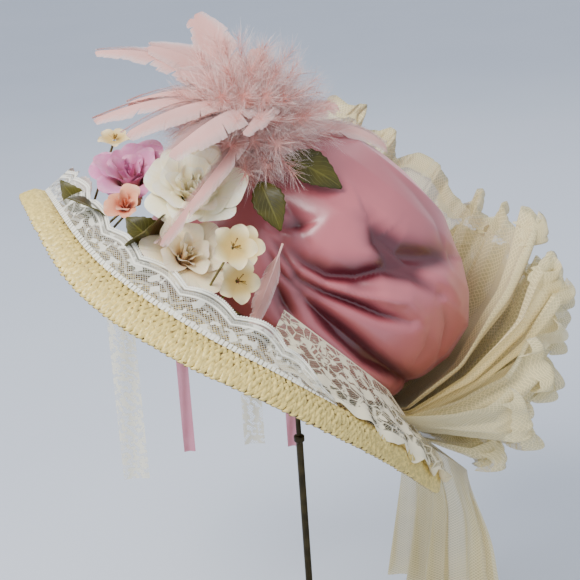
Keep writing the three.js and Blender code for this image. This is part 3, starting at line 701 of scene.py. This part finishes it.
def petal_finish(name, base, heart, rim):
    f = Finish(name, Roughness=0.62, Sheen_Weight=0.25, Subsurface_Weight=0.12)
    f.set(Subsurface_Radius=(0.004, 0.002, 0.0015))
    v = f.cloth()[1]
    drawn = f.node("ShaderNodeMapping", None, {"Vector": f.uv(), "Scale": (4, 0.25, 1)})
    veins = f.noise(5.5, 3, drawn.outputs[0])
    # Towards its base each petal turns to the heart colour, partly the flower's own warmer tint and partly
    # painted shade deep in the flower
    body = f.mix(v.between(0.25, 0.92), heart, base)
    edge = f.mix(v.between(0.82, 1.0) * f.noise(160, 2).between(0.35, 0.7), body, rim)
    colour = f.mix(veins.between(0.55, 0.8) * 0.35, edge, scaled(heart, 0.9))
    return f.set(Base_Color=colour, Normal=f.relief(veins, 0.25, 0.0008)).material


def leaf_finish():
    s = settings()
    f = Finish("leaf", Roughness=0.45, Specular_IOR_Level=0.4)
    u, v = f.cloth()
    side = (u - 0.5).size()
    midrib = 1 - side.between(0.015, 0.05)
    branch = 1 - ((v * 9 - side * 7).fraction() - 0.5).size().between(0.03, 0.1)
    lines = midrib.larger(branch * 0.6)
    cloud = f.noise(70, 3).between(0.3, 0.7)
    body = f.mix(cloud, scaled(s.leaf, 0.6), tuple(min(1, c * 1.25) for c in s.leaf))
    colour = f.mix(lines * 0.3, body, srgb(140, 136, 62))
    height = f.noise(260, 2) * 0.4 - lines
    return f.set(Base_Color=colour, Normal=f.relief(height, 0.45, 0.0008)).material


def stem_finish():
    f = Finish("stem", Roughness=0.6)
    colour = f.mix(f.noise(300, 2).between(0.35, 0.65), srgb(84, 70, 34), srgb(126, 116, 58))
    return f.set(Base_Color=colour).material


def heart_finish():
    f = Finish("flower_heart", Roughness=0.7)
    colour = f.mix(f.noise(900, 2).between(0.4, 0.6), srgb(92, 58, 26), srgb(196, 158, 70))
    return f.set(Base_Color=colour, Normal=f.relief(f.noise(1500, 1), 0.6, 0.0008)).material


def feather_finish():
    s = settings()
    f = Finish("feather", Roughness=0.6, Sheen_Weight=0.5, Subsurface_Weight=0.08)
    share = f.shade()
    body = f.mix(f.noise(26, 2).between(0.3, 0.7), scaled(s.feather, 0.86), tuple(s.feather))
    colour = f.mix(share.between(0.5, 1.0), body, srgb(248, 214, 204))
    return f.set(Base_Color=colour, Alpha=1 - share.between(0.55, 1.0) * 0.5).material


def fluff_finish():
    f = Finish("fluff", Roughness=0.8, Sheen_Weight=0.4)
    share = f.shade()
    body = f.mix(f.noise(32, 2).between(0.3, 0.7), srgb(192, 114, 100), srgb(228, 164, 150))
    colour = f.mix(share.between(0.25, 0.95), body, srgb(248, 228, 218))
    return f.set(Base_Color=colour).material


def metal_finish():
    s = settings()
    f = Finish("dark_metal", Metallic=0.75)
    cloud = f.noise(90, 4)
    colour = f.mix(cloud.between(0.35, 0.7), tuple(s.metal), scaled(s.metal, 2.2))
    f.set(Base_Color=colour, Roughness=0.32 + cloud * 0.22)
    return f.set(Normal=f.relief(f.noise(700, 2), 0.06, 0.0005)).material


# Operators

class MakeStage(bpy.types.Operator):
    """Camera, soft light and a pale floor"""

    bl_idname = "hat.make_stage"
    bl_label = "Stage"

    def execute(self, context):
        scene = context.scene
        data = bpy.data.cameras.new("camera")
        data.lens = SENSOR_MM * FOCAL_PX / PICTURE_PX
        data.clip_start = 0.05
        camera = bpy.data.objects.new("camera", data)
        right = Vector((1, 0, 0))
        up = Vector((0, math.sin(CAMERA_PITCH), math.cos(CAMERA_PITCH)))
        forward = Vector((0, math.cos(CAMERA_PITCH), -math.sin(CAMERA_PITCH)))
        rolled_right = math.cos(CAMERA_ROLL) * right - math.sin(CAMERA_ROLL) * up
        rolled_up = math.sin(CAMERA_ROLL) * right + math.cos(CAMERA_ROLL) * up
        turn = Matrix((rolled_right, rolled_up, -forward)).transposed().to_4x4()
        camera.matrix_world = Matrix.Translation(CAMERA_PLACE) @ turn
        scene.collection.objects.link(camera)
        scene.camera = camera
        for name, power, size, place in LIGHTS:
            light = bpy.data.lights.new(name, "AREA")
            light.energy = power
            light.size = size
            lamp = bpy.data.objects.new(name, light)
            lamp.location = place
            lamp.rotation_euler = (Vector(LIGHT_TARGET) - Vector(place)).to_track_quat("-Z", "Y").to_euler()
            scene.collection.objects.link(lamp)
        world = bpy.data.worlds.new("room")
        scene.world = world
        world.use_nodes = True
        sky = world.node_tree.nodes["Background"].inputs
        sky["Color"].default_value = (*srgb(212, 221, 236), 1)
        sky["Strength"].default_value = WORLD_STRENGTH
        bm = bmesh.new()
        bmesh.ops.create_grid(bm, x_segments=1, y_segments=1, size=6)
        floor = to_object("floor", bm)
        f = Finish("floor", Roughness=0.8)
        colour = f.mix(f.noise(3, 2), srgb(212, 218, 228), srgb(222, 226, 234))
        floor.data.materials.append(f.set(Base_Color=colour).material)
        return {"FINISHED"}


class MakeStand(bpy.types.Operator):
    """Round foot, thin rod with its collar, and the head inside the crown"""

    bl_idname = "hat.make_stand"
    bl_label = "Stand"

    def execute(self, context):
        metal = metal_finish()
        foot = [(0, 0), (83.5, 0), (85, 1.5), (84.6, 4), (83, 6.4), (77, 8), (40, 8.8), (14, 9), (0, 9)]
        rod = [
            (0, 9.5), (9, 9.5), (9, 11.5), (7, 14), (5, 16.5), (3.4, 19), (2.8, 23), (2.8, 223), (3.6, 223.4),
            (4.2, 224), (4.2, 228), (3.4, 228.8), (2, 229.4), (2, 390.5), (0, 390.5),
        ]
        head = [(14 * math.sin(math.pi * i / 16), 405 - 14 * math.cos(math.pi * i / 16)) for i in range(17)]
        head[0], head[-1] = (0, 391), (0, 419)
        profiles = (("foot", "stand_base", foot), ("rod", "stand_rod", rod), ("pad", "stand_head", head))
        for name, node, profile in profiles:
            piece = finish_piece(turned(name, profile), node, metal)
            edges = piece.modifiers.new("Edges", "BEVEL")
            edges.width = 0.0004
            edges.segments = 2
        return {"FINISHED"}


class MakeStraw(bpy.types.Operator):
    """Plaited straw brim with raised stitches at its edge, and the crown"""

    bl_idname = "hat.make_straw"
    bl_label = "Straw"

    def execute(self, context):
        s = settings()
        straw = straw_finish()
        around, across = BRIM_FLAT

        def brim(a, t):
            share = along_rows(BRIM_SECTION, 0, t)
            angle = a * math.tau
            row = np.abs(np.sin(np.pi * t * across / s.braid_row)) * 0.5
            return to_world(brim_point(angle, share) + brim_normal(angle, share) * row[:, None])

        body = to_object("brim", mapped_grid(480, 60, brim, BRIM_FLAT, closed=True))
        finish_piece(thicken(body, 0.0022), "straw_brim", straw)

        count = int(around / s.stitch_pitch)
        rows = [(0.885, 1), (0.915, -1), (0.94, 1), (0.962, -1), (0.98, 1), (0.996, -1)]
        rng = np.random.default_rng(4)
        jitter = rng.normal(0, 1, (len(rows), count, 4))

        def grains(index, side, along):
            row = index // count
            place = index % count
            wobble = jitter[row, place]
            share = np.array([r[0] for r in rows])[row]
            lean = np.array([r[1] for r in rows])[row]
            angle = (place + 0.5 * (row % 2) + wobble[:, 0] * 0.1) / count * math.tau
            reach = (along - 0.5) * (0.062 + 0.008 * wobble[:, 1])
            here = np.clip(share + reach, 0, 1)
            width = 1.9 * np.sin(np.pi * np.clip(along, 0.06, 0.94)) ** 0.5
            turn = (lean * reach * 62 + side * width) / 182
            over = np.maximum(share + reach - 1, 0) * 60
            dome = 0.6 + 2.0 * (1 - side ** 2) * np.sin(np.pi * along) ** 0.7 + 0.25 * wobble[:, 2]
            raised_by = (STRAW_HALF_WALL + dome)[:, None]
            point = brim_point(angle + turn, here) + brim_normal(angle + turn, here) * raised_by
            point[:, 2] -= over
            return to_world(point)

        raised = to_object("stitches", strips(count * len(rows), 2, 4, grains))
        finish_piece(raised, "straw_brim", grain_finish())

        def crown(a, t):
            reach = along_rows(CROWN_SECTION, 0, t)
            angle = a * math.tau
            x = (HEAD_LONG + STRAW_HALF_WALL) * reach * np.cos(angle)
            y = (HEAD_WIDE + STRAW_HALF_WALL) * reach * np.sin(angle)
            return to_world(stack(x, y, along_rows(CROWN_SECTION, 1, t)))

        top = to_object("crown", mapped_grid(120, 40, crown, (560, 190), closed=True))
        finish_piece(thicken(top, 0.0022), "straw_crown", straw)
        return {"FINISHED"}


class MakeSatin(bpy.types.Operator):
    """Satin drawn over the crown in deep swagged folds"""

    bl_idname = "hat.make_satin"
    bl_label = "Satin"

    def execute(self, context):
        def parts(a, t):
            angle = a * math.tau
            height = along_rows(POUF_SECTION, 0, t)
            reach = along_rows(POUF_SECTION, 1, t)
            back = along_rows(POUF_SECTION, 2, t)
            depth = fold_depth(back + reach * np.cos(angle), height) * np.minimum(reach / 60, 1)
            far = ease(np.clip(0.35 + 0.75 * np.sin(angle) + 0.25 * np.cos(angle), 0, 1))
            gathers = np.sin(angle * 13 + 2.2 * np.sin(height / 34)) + 0.6 * np.sin(angle * 23 + height / 19)
            deep = 5 * ease(np.clip((128 - height) / 80, 0, 1)) + 1.2 * np.minimum(reach / 60, 1)
            depth += far * np.clip(gathers, 0, 2) * deep
            return angle, height, reach, back, depth

        def pouf(a, t):
            angle, height, reach, back, depth = parts(a, t)
            clear_of_crown = np.maximum(reach - depth, np.minimum(reach, CROWN_CLEAR))
            pressed = np.where(height < CROWN_CLEAR_TOP, clear_of_crown, reach - depth)
            x = back + pressed * np.cos(angle)
            return to_world(stack(x, POUF_WIDTH_SHARE * pressed * np.sin(angle), height))

        # The fold depth goes into the shade attribute, which the satin finish turns into painted shade
        bm = mapped_grid(340, 140, pouf, (720, 260), closed=True, values=lambda a, t: parts(a, t)[4])
        piece = to_object("satin", bm)
        finish_piece(thicken(piece, 0.0012), "satin_pouf", satin_finish())
        soft = piece.modifiers.new("Soft", "SMOOTH")
        soft.iterations = 1
        return {"FINISHED"}


class MakeLace(bpy.types.Operator):
    """White lace standing along the front of the brim, ivory lace on its back"""

    bl_idname = "hat.make_lace"
    bl_label = "Lace"

    def execute(self, context):
        def ruffle(a, t):
            angle = np.radians(-230 + 154 * a)
            ends = ease(np.minimum(1, 6 * a + 0.25)) * ease(np.minimum(1, 5 * (1 - a) + 0.2))
            foot = brim_point(angle, np.full(a.shape, 0.9), 4.2)
            wave = 2.2 * t * np.sin(a * 13 * 1.4 * math.pi) + 1.2 * t * np.sin(a * 131)
            inward = 7 * t + wave
            foot[:, 0] -= inward * np.cos(angle)
            foot[:, 1] -= inward * np.sin(angle)
            foot[:, 2] += 27 * t * ends
            return to_world(foot)

        white = to_object("lace_edge", mapped_grid(420, 14, ruffle, (480, 27.5)))
        finish_piece(white, "lace_ruffle", white_lace_finish())

        def overlay(a, t):
            angle = np.radians(-95 + 199 * a)
            hem = look_up(LACE_HEM, np.degrees(angle))
            share = 0.3 + (hem - 0.3) * t
            laid = np.minimum(share, 0.96)
            place = brim_point(angle, laid, 4.2)
            reach = (share - laid) * (BRIM_LONG - HEAD_LONG)
            place[:, 0] += reach * np.cos(angle)
            place[:, 1] += reach * np.sin(angle)
            out = np.clip((hem - 0.86) / 0.2, 0, 1)
            propped = ease(np.clip((12 - np.degrees(angle)) / 50, 0, 1))
            place[:, 2] += 26 * propped * (1 - t) ** 1.3
            place[:, 2] += t * t * out * (2 + 4 * np.sin(a * 17 * math.tau)) + t * 0.8 * np.sin(a * 190)
            return to_world(place)

        ivory = to_object("lace_back", mapped_grid(420, 40, overlay, (520, 75)))
        finish_piece(ivory, "lace_overlay", ivory_lace_finish())
        return {"FINISHED"}


class MakeTulle(bpy.types.Operator):
    """Gathered net behind the crown, with two tails over the back of the brim"""

    bl_idname = "hat.make_tulle"
    bl_label = "Net"

    def execute(self, context):
        net = tulle_finish()
        for order, (node, start, end, gather, ruffles, wave, section) in enumerate(TULLE_FRILLS + NET_FILLS):
            def frill(a, t):
                angle = np.radians(start + (end - start) * a)
                run = np.minimum(t / NET_TURN_BACK, 1)
                back = np.clip((t - NET_TURN_BACK) / (1 - NET_TURN_BACK), 0, 1)
                spread = run * run * wave
                uneven = 0.035 * np.sin(a * 15 + order * 2.1) + 0.012 * np.sin(a * 41 + order)
                turn = (a + uneven) * ruffles * math.tau
                small = np.sin(turn * 2.3 + order) * t * 3 + np.sin(turn * 5.1 + order * 2) * t * 1.5
                small += 1.6 * t * np.sin(t * 19 + turn * 1.7 + order) + 0.7 * t * np.sin(turn * 11)
                out = gather + along_rows(section, 0, run) + spread * np.sin(turn) + small
                out += 8 * np.sin(math.pi * back)
                height = along_rows(section, 1, run) + spread * 0.8 * np.cos(turn + 1) + small * 0.6
                height -= 15 * back ** 1.5
                x = (NET_LONG + out) * np.cos(angle)
                return to_world(stack(x, (NET_WIDE + out) * np.sin(angle), height))

            length = math.radians(end - start) * 150
            deep = sum(math.dist(p, q) for p, q in zip(section, section[1:]))
            name = "net_layer_%d" % (order + 1)
            piece = to_object(name, mapped_grid(320, 50, frill, (length * 1.3, deep)))
            finish_piece(piece, node, net)
        for order, (node, start, end, low, spread, splay) in enumerate(TULLE_TAILS + [VEIL]):
            def tail(a, t):
                angle = np.radians(start + (end - start) * a)
                fold = 9 * np.sin(a * 3 * math.tau) + 1.6 * np.sin(a * 53)
                run = np.minimum(t / TAIL_OVER_BRIM, 1)
                place = brim_point(angle, 0.62 + 0.24 * run, 2.2 + 9 + 4 * ease(run))
                place[:, 0] += 26 * ease(run)
                place = place @ HAT_TURN.T + HAT_PLACE
                drop = np.maximum(t - TAIL_OVER_BRIM, 0) / (1 - TAIL_OVER_BRIM)
                middle = brim_point(np.radians((start + end) / 2), np.array(0.86)) @ HAT_TURN.T + HAT_PLACE
                place[:, 0] += 10.4 * ease(np.minimum(drop * 2.5, 1)) + fold * drop + splay * drop
                wide = 1 + (spread - 1) * drop
                place[:, 1] = middle[1] + (place[:, 1] - middle[1]) * wide + fold * 0.6 * drop
                place[:, 2] += (low - place[:, 2]) * drop
                return place * 0.001

            piece = to_object("net_tail_%d" % (order + 1), mapped_grid(140, 60, tail, (110, 240)))
            finish_piece(piece, node, net)
        return {"FINISHED"}


class MakeStreamers(bpy.types.Operator):
    """Lace and pink ribbons that hang from the far side of the brim"""

    bl_idname = "hat.make_streamers"
    bl_label = "Streamers"

    def execute(self, context):
        finishes = {"lace_ribbon": ribbon_lace_finish(), "pink_ribbon": ribbon_finish()}
        for node, slot_name, degrees, share, width, low in STREAMERS:
            def sewn(a):
                angle = math.radians(degrees) + (1 - 2 * a) * width / (BRIM_LONG + HEAD_LONG)
                return brim_point(angle, np.full(a.shape, share), -2.7) @ HAT_TURN.T + HAT_PLACE

            def ribbon(a, t):
                place = sewn(a)
                faced = sewn(np.full(a.shape, 0.5))
                faced[:, 0] += (a - 0.5) * width
                faced[:, 2] = place[:, 2]
                place += (faced - place) * ease(np.minimum(t * 3, 1))[:, None]
                place[:, 1] += 3 * np.sin(t * math.pi * 1.5) + 0.8 * np.sin(a * math.pi * 2 + t * 5)
                place[:, 2] += (low - place[:, 2]) * t
                return place * 0.001

            top = float(sewn(np.array([0.5]))[0, 2])
            piece = to_object(node + "_cloth", mapped_grid(8, 60, ribbon, (width, top - low)))
            finish_piece(piece, node, finishes[slot_name])
        return {"FINISHED"}


def facing_frame(facing):
    axis = unit(facing)
    side = unit(np.cross(axis, [0.1, 0.2, 1.0]))
    return side, np.cross(axis, side), axis


class MakeFlowers(bpy.types.Operator):
    """Silk roses, small blossoms, leaves and their wires"""

    bl_idname = "hat.make_flowers"
    bl_label = "Flowers"

    def execute(self, context):
        stems = stem_finish()
        ivory = petal_finish("ivory_rose", srgb(250, 240, 204), srgb(236, 220, 156), srgb(254, 250, 232))
        pink = petal_finish("pink_rose", srgb(214, 128, 174), srgb(228, 176, 140), srgb(232, 168, 196))
        ruffled = petal_finish("ivory_bloom", srgb(250, 234, 192), srgb(220, 176, 110), srgb(252, 232, 208))
        peach = petal_finish("peach_bud", srgb(234, 158, 118), srgb(206, 92, 60), srgb(244, 190, 158))
        finishes = {"rose_ivory": ivory, "rose_pink": pink, "bloom_ivory": ruffled, "bud_peach": peach}
        for node, slot_name, at, facing, radius, petals, open_, foot in ROSES:
            side, up, axis = facing_frame(facing)
            rng = np.random.default_rng(len(node) + radius)
            bm = bmesh.new()
            bm.loops.layers.uv.new("cloth")
            for k in range(petals):
                age = (k + 0.5) / petals
                turn = k * GOLDEN_TURN + rng.normal(0, 0.12)
                opening = -0.45 + (0.45 + 0.9 * open_) * age ** 0.8
                opening = math.copysign(max(abs(opening), 0.05), opening)
                length = radius * (1.0 + 0.22 * age)
                half = radius * (0.36 + 0.46 * age)
                base = radius * (0.06 + 0.1 * age)
                tilt = rng.normal(0, 0.06)

                def petal(a, t):
                    across = 2 * a - 1
                    bend = opening * t
                    out = base + length * (1 - np.cos(bend)) / opening
                    rise = length * np.sin(bend) / opening
                    wide = half * np.sin(np.pi * (0.1 + 0.66 * t)) ** 0.5
                    rounded = 1 - 0.22 * across ** 2 * t ** 2
                    curl = 0.2 * radius * age * np.clip(t - 0.62, 0, 1) ** 1.4 * 4
                    ripple = 0.05 * radius * t ** 2 * np.sin(across * 4 + k * 1.7)
                    swing = turn + across * wide / np.maximum(out + 0.35 * radius, 1e-3)
                    reach = (out + curl + ripple) * rounded + 0.02 * radius * across ** 2
                    lift = (rise - 0.5 * radius - curl * 0.5) * rounded + tilt * radius * t
                    x, y = reach * np.cos(swing), reach * np.sin(swing)
                    return to_world(np.array(at) + x[:, None] * side + y[:, None] * up + lift[:, None] * axis)

                add_to(bm, mapped_grid(12, 12, petal))
            back = np.array(at) - 0.45 * radius * axis
            piece = to_object(node + "_petals", bm)
            finish_piece(piece, node, finishes[node])
            self.wire(node, back, foot, stems, slot_name)
        cream = petal_finish("cream_blossom", srgb(242, 222, 170), srgb(214, 178, 96), srgb(238, 212, 184))
        hearts = heart_finish()
        for node, at, facing, radius, foot in BLOSSOMS:
            side, up, axis = facing_frame(facing)
            bm = bmesh.new()
            bm.loops.layers.uv.new("cloth")
            for k in range(5):
                turn = k * math.tau / 5

                def petal(a, t):
                    across = 2 * a - 1
                    wide = 0.44 * radius * np.sin(np.pi * (0.08 + 0.8 * t)) ** 0.7
                    out = radius * (0.1 + 0.95 * t * (1 - 0.12 * across ** 2 * t))
                    fall = 0.48 * np.clip(t - 0.75, 0, 1)
                    lift = radius * (0.3 * t ** 1.5 + 0.1 * across ** 2 * t - fall)
                    sideways = across * wide
                    x = out * math.cos(turn) - sideways * math.sin(turn)
                    y = out * math.sin(turn) + sideways * math.cos(turn)
                    return to_world(np.array(at) + x[:, None] * side + y[:, None] * up + lift[:, None] * axis)

                add_to(bm, mapped_grid(8, 8, petal))
            piece = to_object(node + "_petals", bm)
            finish_piece(piece, node, cream)
            rng = np.random.default_rng(int(radius * 7))
            tilt = rng.normal(0, 0.35, (14, 2))

            def stamen(index, across, t):
                lean = tilt[index]
                length = radius * 0.38 * t
                x = lean[:, 0] * length + across * 0.35 * (0.5 + t)
                y = lean[:, 1] * length
                return to_world(np.array(at) + x[:, None] * side + y[:, None] * up + length[:, None] * axis)

            heart = to_object(node + "_heart", strips(14, 1, 3, stamen))
            finish_piece(heart, node, hearts)
            self.wire(node, np.array(at) - 0.05 * radius * axis, foot, stems, "cream_blossom")
        green = leaf_finish()
        pale = petal_finish("pale_petal", srgb(236, 226, 220), srgb(226, 208, 200), srgb(242, 234, 230))
        for node, slot_name, root, tip, width, foot in LEAVES:
            start, stop = np.array(root, float), np.array(tip, float)
            along = unit(stop - start)
            outward = unit(np.array([start[0] + stop[0], start[1] + stop[1], 60]))
            across = unit(np.cross(along, outward))
            above = np.cross(across, along)

            def blade(a, t):
                side = 2 * a - 1
                half = width / 2 * (0.06 + 0.94 * np.sin(np.pi * np.clip(t, 0, 1) ** 0.8))
                half = half * (1 + 0.05 * np.sin(t * 46) * np.abs(side))
                rise = 4 * np.sin(np.pi * t) + 0.16 * half * np.abs(side) + 0.5 * np.sin(t * 9 + side * 2)
                place = start + (stop - start) * t[:, None] + across * (side * half)[:, None]
                return to_world(place + above * rise[:, None])

            piece = thicken(to_object(node + "_blade", mapped_grid(14, 26, blade)), 0.0005)
            finish_piece(piece, node, pale if node == "pale_petal" else green)
            if foot:
                self.wire(node, start, foot, stems, slot_name)
            if node in UNDER_LEAVES:
                lean, size = UNDER_LEAVES[node]
                swing = np.array(Matrix.Rotation(lean, 3, "Z")) @ (stop - start) * size
                width = width * size
                stop = start + swing
                across = unit(np.cross(unit(swing), outward))
                above = np.cross(across, unit(swing))
                piece = thicken(to_object(node + "_under", mapped_grid(14, 26, blade)), 0.0005)
                finish_piece(piece, node, pale if node == "pale_petal" else green)
        return {"FINISHED"}

    def wire(self, node, start, foot, material, slot_name):
        piece = to_object(node + "_wire", stem_mesh(start, foot, 0.9))
        return finish_piece(piece, node, material)


def blade_spine(root, tip, arch):
    root, tip = np.array(root, float), np.array(tip, float)
    knee = root + (tip - root) * 0.55 + np.array([0, 0, arch])
    flat = unit(np.array([root[0] + tip[0], root[1] + tip[1], 40]))

    def at(t):
        t = np.asarray(t)[:, None]
        return (1 - t) ** 2 * root + 2 * t * (1 - t) * knee + t ** 2 * tip

    def heading(t):
        t = np.asarray(t)[:, None]
        return unit(2 * (1 - t) * (knee - root) + 2 * t * (tip - knee))

    return at, heading, flat


def feather_blade(root, tip, arch, width, barbs, rng):
    """A vane of overlapping barbs on both sides of a tapering shaft."""
    at, heading, flat = blade_spine(root, tip, arch)
    jitter = rng.normal(0, 1, (2 * barbs, 3))
    splits = rng.normal(0, 1, (2, 10))

    def vane(index, side, along):
        hand = np.where(index % 2 == 0, 1.0, -1.0)
        step = (index // 2 + 0.5) / barbs
        start = 0.1 + 0.86 * step
        half = width / 2 * (0.12 + 0.88 * np.sin(np.pi * np.minimum(1, 0.08 + 0.84 * start)) ** 0.6)
        half = half * (1 - 0.4 * start ** 3)
        tuft = splits[index % 2, (step * 10).astype(int)]
        half = half * (1 + 0.02 * jitter[index, 0] + 0.06 * tuft)
        sweep = (0.2 + 0.025 * tuft) * along ** 0.8 * (1 - 0.6 * start)
        here = np.clip(start + sweep + side * 1.1 / barbs * (1 - 0.45 * along), 0, 1)
        across = unit(np.cross(heading(here), flat))
        droop = -0.3 * half * along ** 2 + 0.2 * jitter[index, 1] * along + 0.2 * side
        above = droop + 0.05 * jitter[index, 2]
        return to_world(at(here) + across * (hand * half * along)[:, None] + flat * above[:, None])

    bm = strips(2 * barbs, 1, 5, vane)

    def shaft(a, t):
        across = unit(np.cross(heading(t), flat))
        turn = a[:, None] * math.tau
        thick = (0.75 * (1 - t) + 0.12)[:, None]
        return to_world(at(t) + (np.cos(turn) * across + np.sin(turn) * flat) * thick)

    return add_to(bm, mapped_grid(5, 24, shaft, closed=True))


def fluff_reach(direction):
    """How far the fluff may go along a direction before it meets a piece beside it."""
    reach = 70.0
    for centre, radius in FLUFF_CLEAR:
        away = np.array(centre) - FEATHER_HEAD
        along = away @ direction
        off = math.sqrt(max(away @ away - along ** 2, 0))
        if along > 0 and off < radius:
            reach = min(reach, along - math.sqrt(radius ** 2 - off ** 2))
    middle, half = POUF_ROUND
    while reach > 12 and np.linalg.norm((FEATHER_HEAD + direction * reach - middle) / half) < 1.03:
        reach -= 2
    return reach


class MakeFeathers(bpy.types.Operator):
    """Feather spray with its fluff, and the small feather that hangs below"""

    bl_idname = "hat.make_feathers"
    bl_label = "Feathers"

    def execute(self, context):
        rng = np.random.default_rng(11)
        feather = feather_finish()
        bm = bmesh.new()
        for tip, arch, width in FEATHER_BLADES + FEATHER_FILLS:
            add_to(bm, feather_blade(FEATHER_HEAD, tip, arch, width * 1.08, 150, rng))
        finish_piece(to_object("blades", bm), "feather_spray", feather)
        finish_piece(
            to_object("hanging_blade", feather_blade((-40, -110, 74), (-26, -127, 18), 2, 13, 90, rng)),
            "hanging_feather", feather)

        locks = settings().fluff_locks
        turn = np.arange(locks) * GOLDEN_TURN
        level = 1 - 2 * (np.arange(locks) + 0.5) / locks
        flat = np.sqrt(1 - level ** 2)
        directions = np.stack([flat * np.cos(turn), flat * np.sin(turn), level], 1)
        reaches = np.array([fluff_reach(d) for d in directions])
        keep = reaches > 18
        directions = directions[keep]
        reaches = reaches[keep] * rng.uniform(0.74, 1.08, keep.sum())
        barbs = 240
        noise = rng.normal(0, 1, (len(directions) * barbs, 7))

        def fluff(index, side, along):
            lock = index // barbs
            wild = noise[index]
            start = (0.12 + 0.84 * ((index % barbs) + 0.5) / barbs)
            axis = directions[lock]
            reach = reaches[lock]
            out = unit(np.cross(axis, wild[:, :3]))
            length = 21 * (1 - 0.4 * start) * (0.7 + 0.25 * np.abs(wild[:, 3]))
            length = np.minimum(length, reach * 0.45)
            base = FEATHER_HEAD + axis * (reach * start * 0.92)[:, None]
            bend = axis * (length * 0.75 * along ** 1.4)[:, None] + out * (length * along)[:, None]
            sway = unit(wild[:, 4:7]) * (2.4 * along ** 2)[:, None]
            ribbon = unit(np.cross(out, axis)) * (side * 0.12 * (1.15 - along))[:, None]
            return to_world(base + bend + sway + ribbon)

        soft = to_object("fluff", strips(len(directions) * barbs, 1, 3, fluff))
        finish_piece(soft, "feather_spray", fluff_finish())
        return {"FINISHED"}


MAKERS = (
    MakeStage, MakeStand, MakeStraw, MakeSatin, MakeLace, MakeTulle, MakeStreamers, MakeFlowers, MakeFeathers,
)


class HatPanel(bpy.types.Panel):
    """Lists the steps that build the hat"""

    bl_idname = "VIEW3D_PT_trimmed_hat"
    bl_label = "Trimmed hat"
    bl_space_type = "VIEW_3D"
    bl_region_type = "UI"
    bl_category = "Hat"

    def draw(self, context):
        for name in HatSettings.__annotations__:
            self.layout.prop(context.scene.trimmed_hat, name)
        for maker in MAKERS:
            self.layout.operator(maker.bl_idname)


CLASSES = (HatSettings, *MAKERS, HatPanel)


def register():
    for item in CLASSES:
        bpy.utils.register_class(item)
    bpy.types.Scene.trimmed_hat = bpy.props.PointerProperty(type=HatSettings)


def unregister():
    del bpy.types.Scene.trimmed_hat
    for item in reversed(CLASSES):
        bpy.utils.unregister_class(item)


def main():
    register()
    for maker in MAKERS:
        group, step = maker.bl_idname.split(".")
        getattr(getattr(bpy.ops, group), step)()


if __name__ == "__main__":
    main()
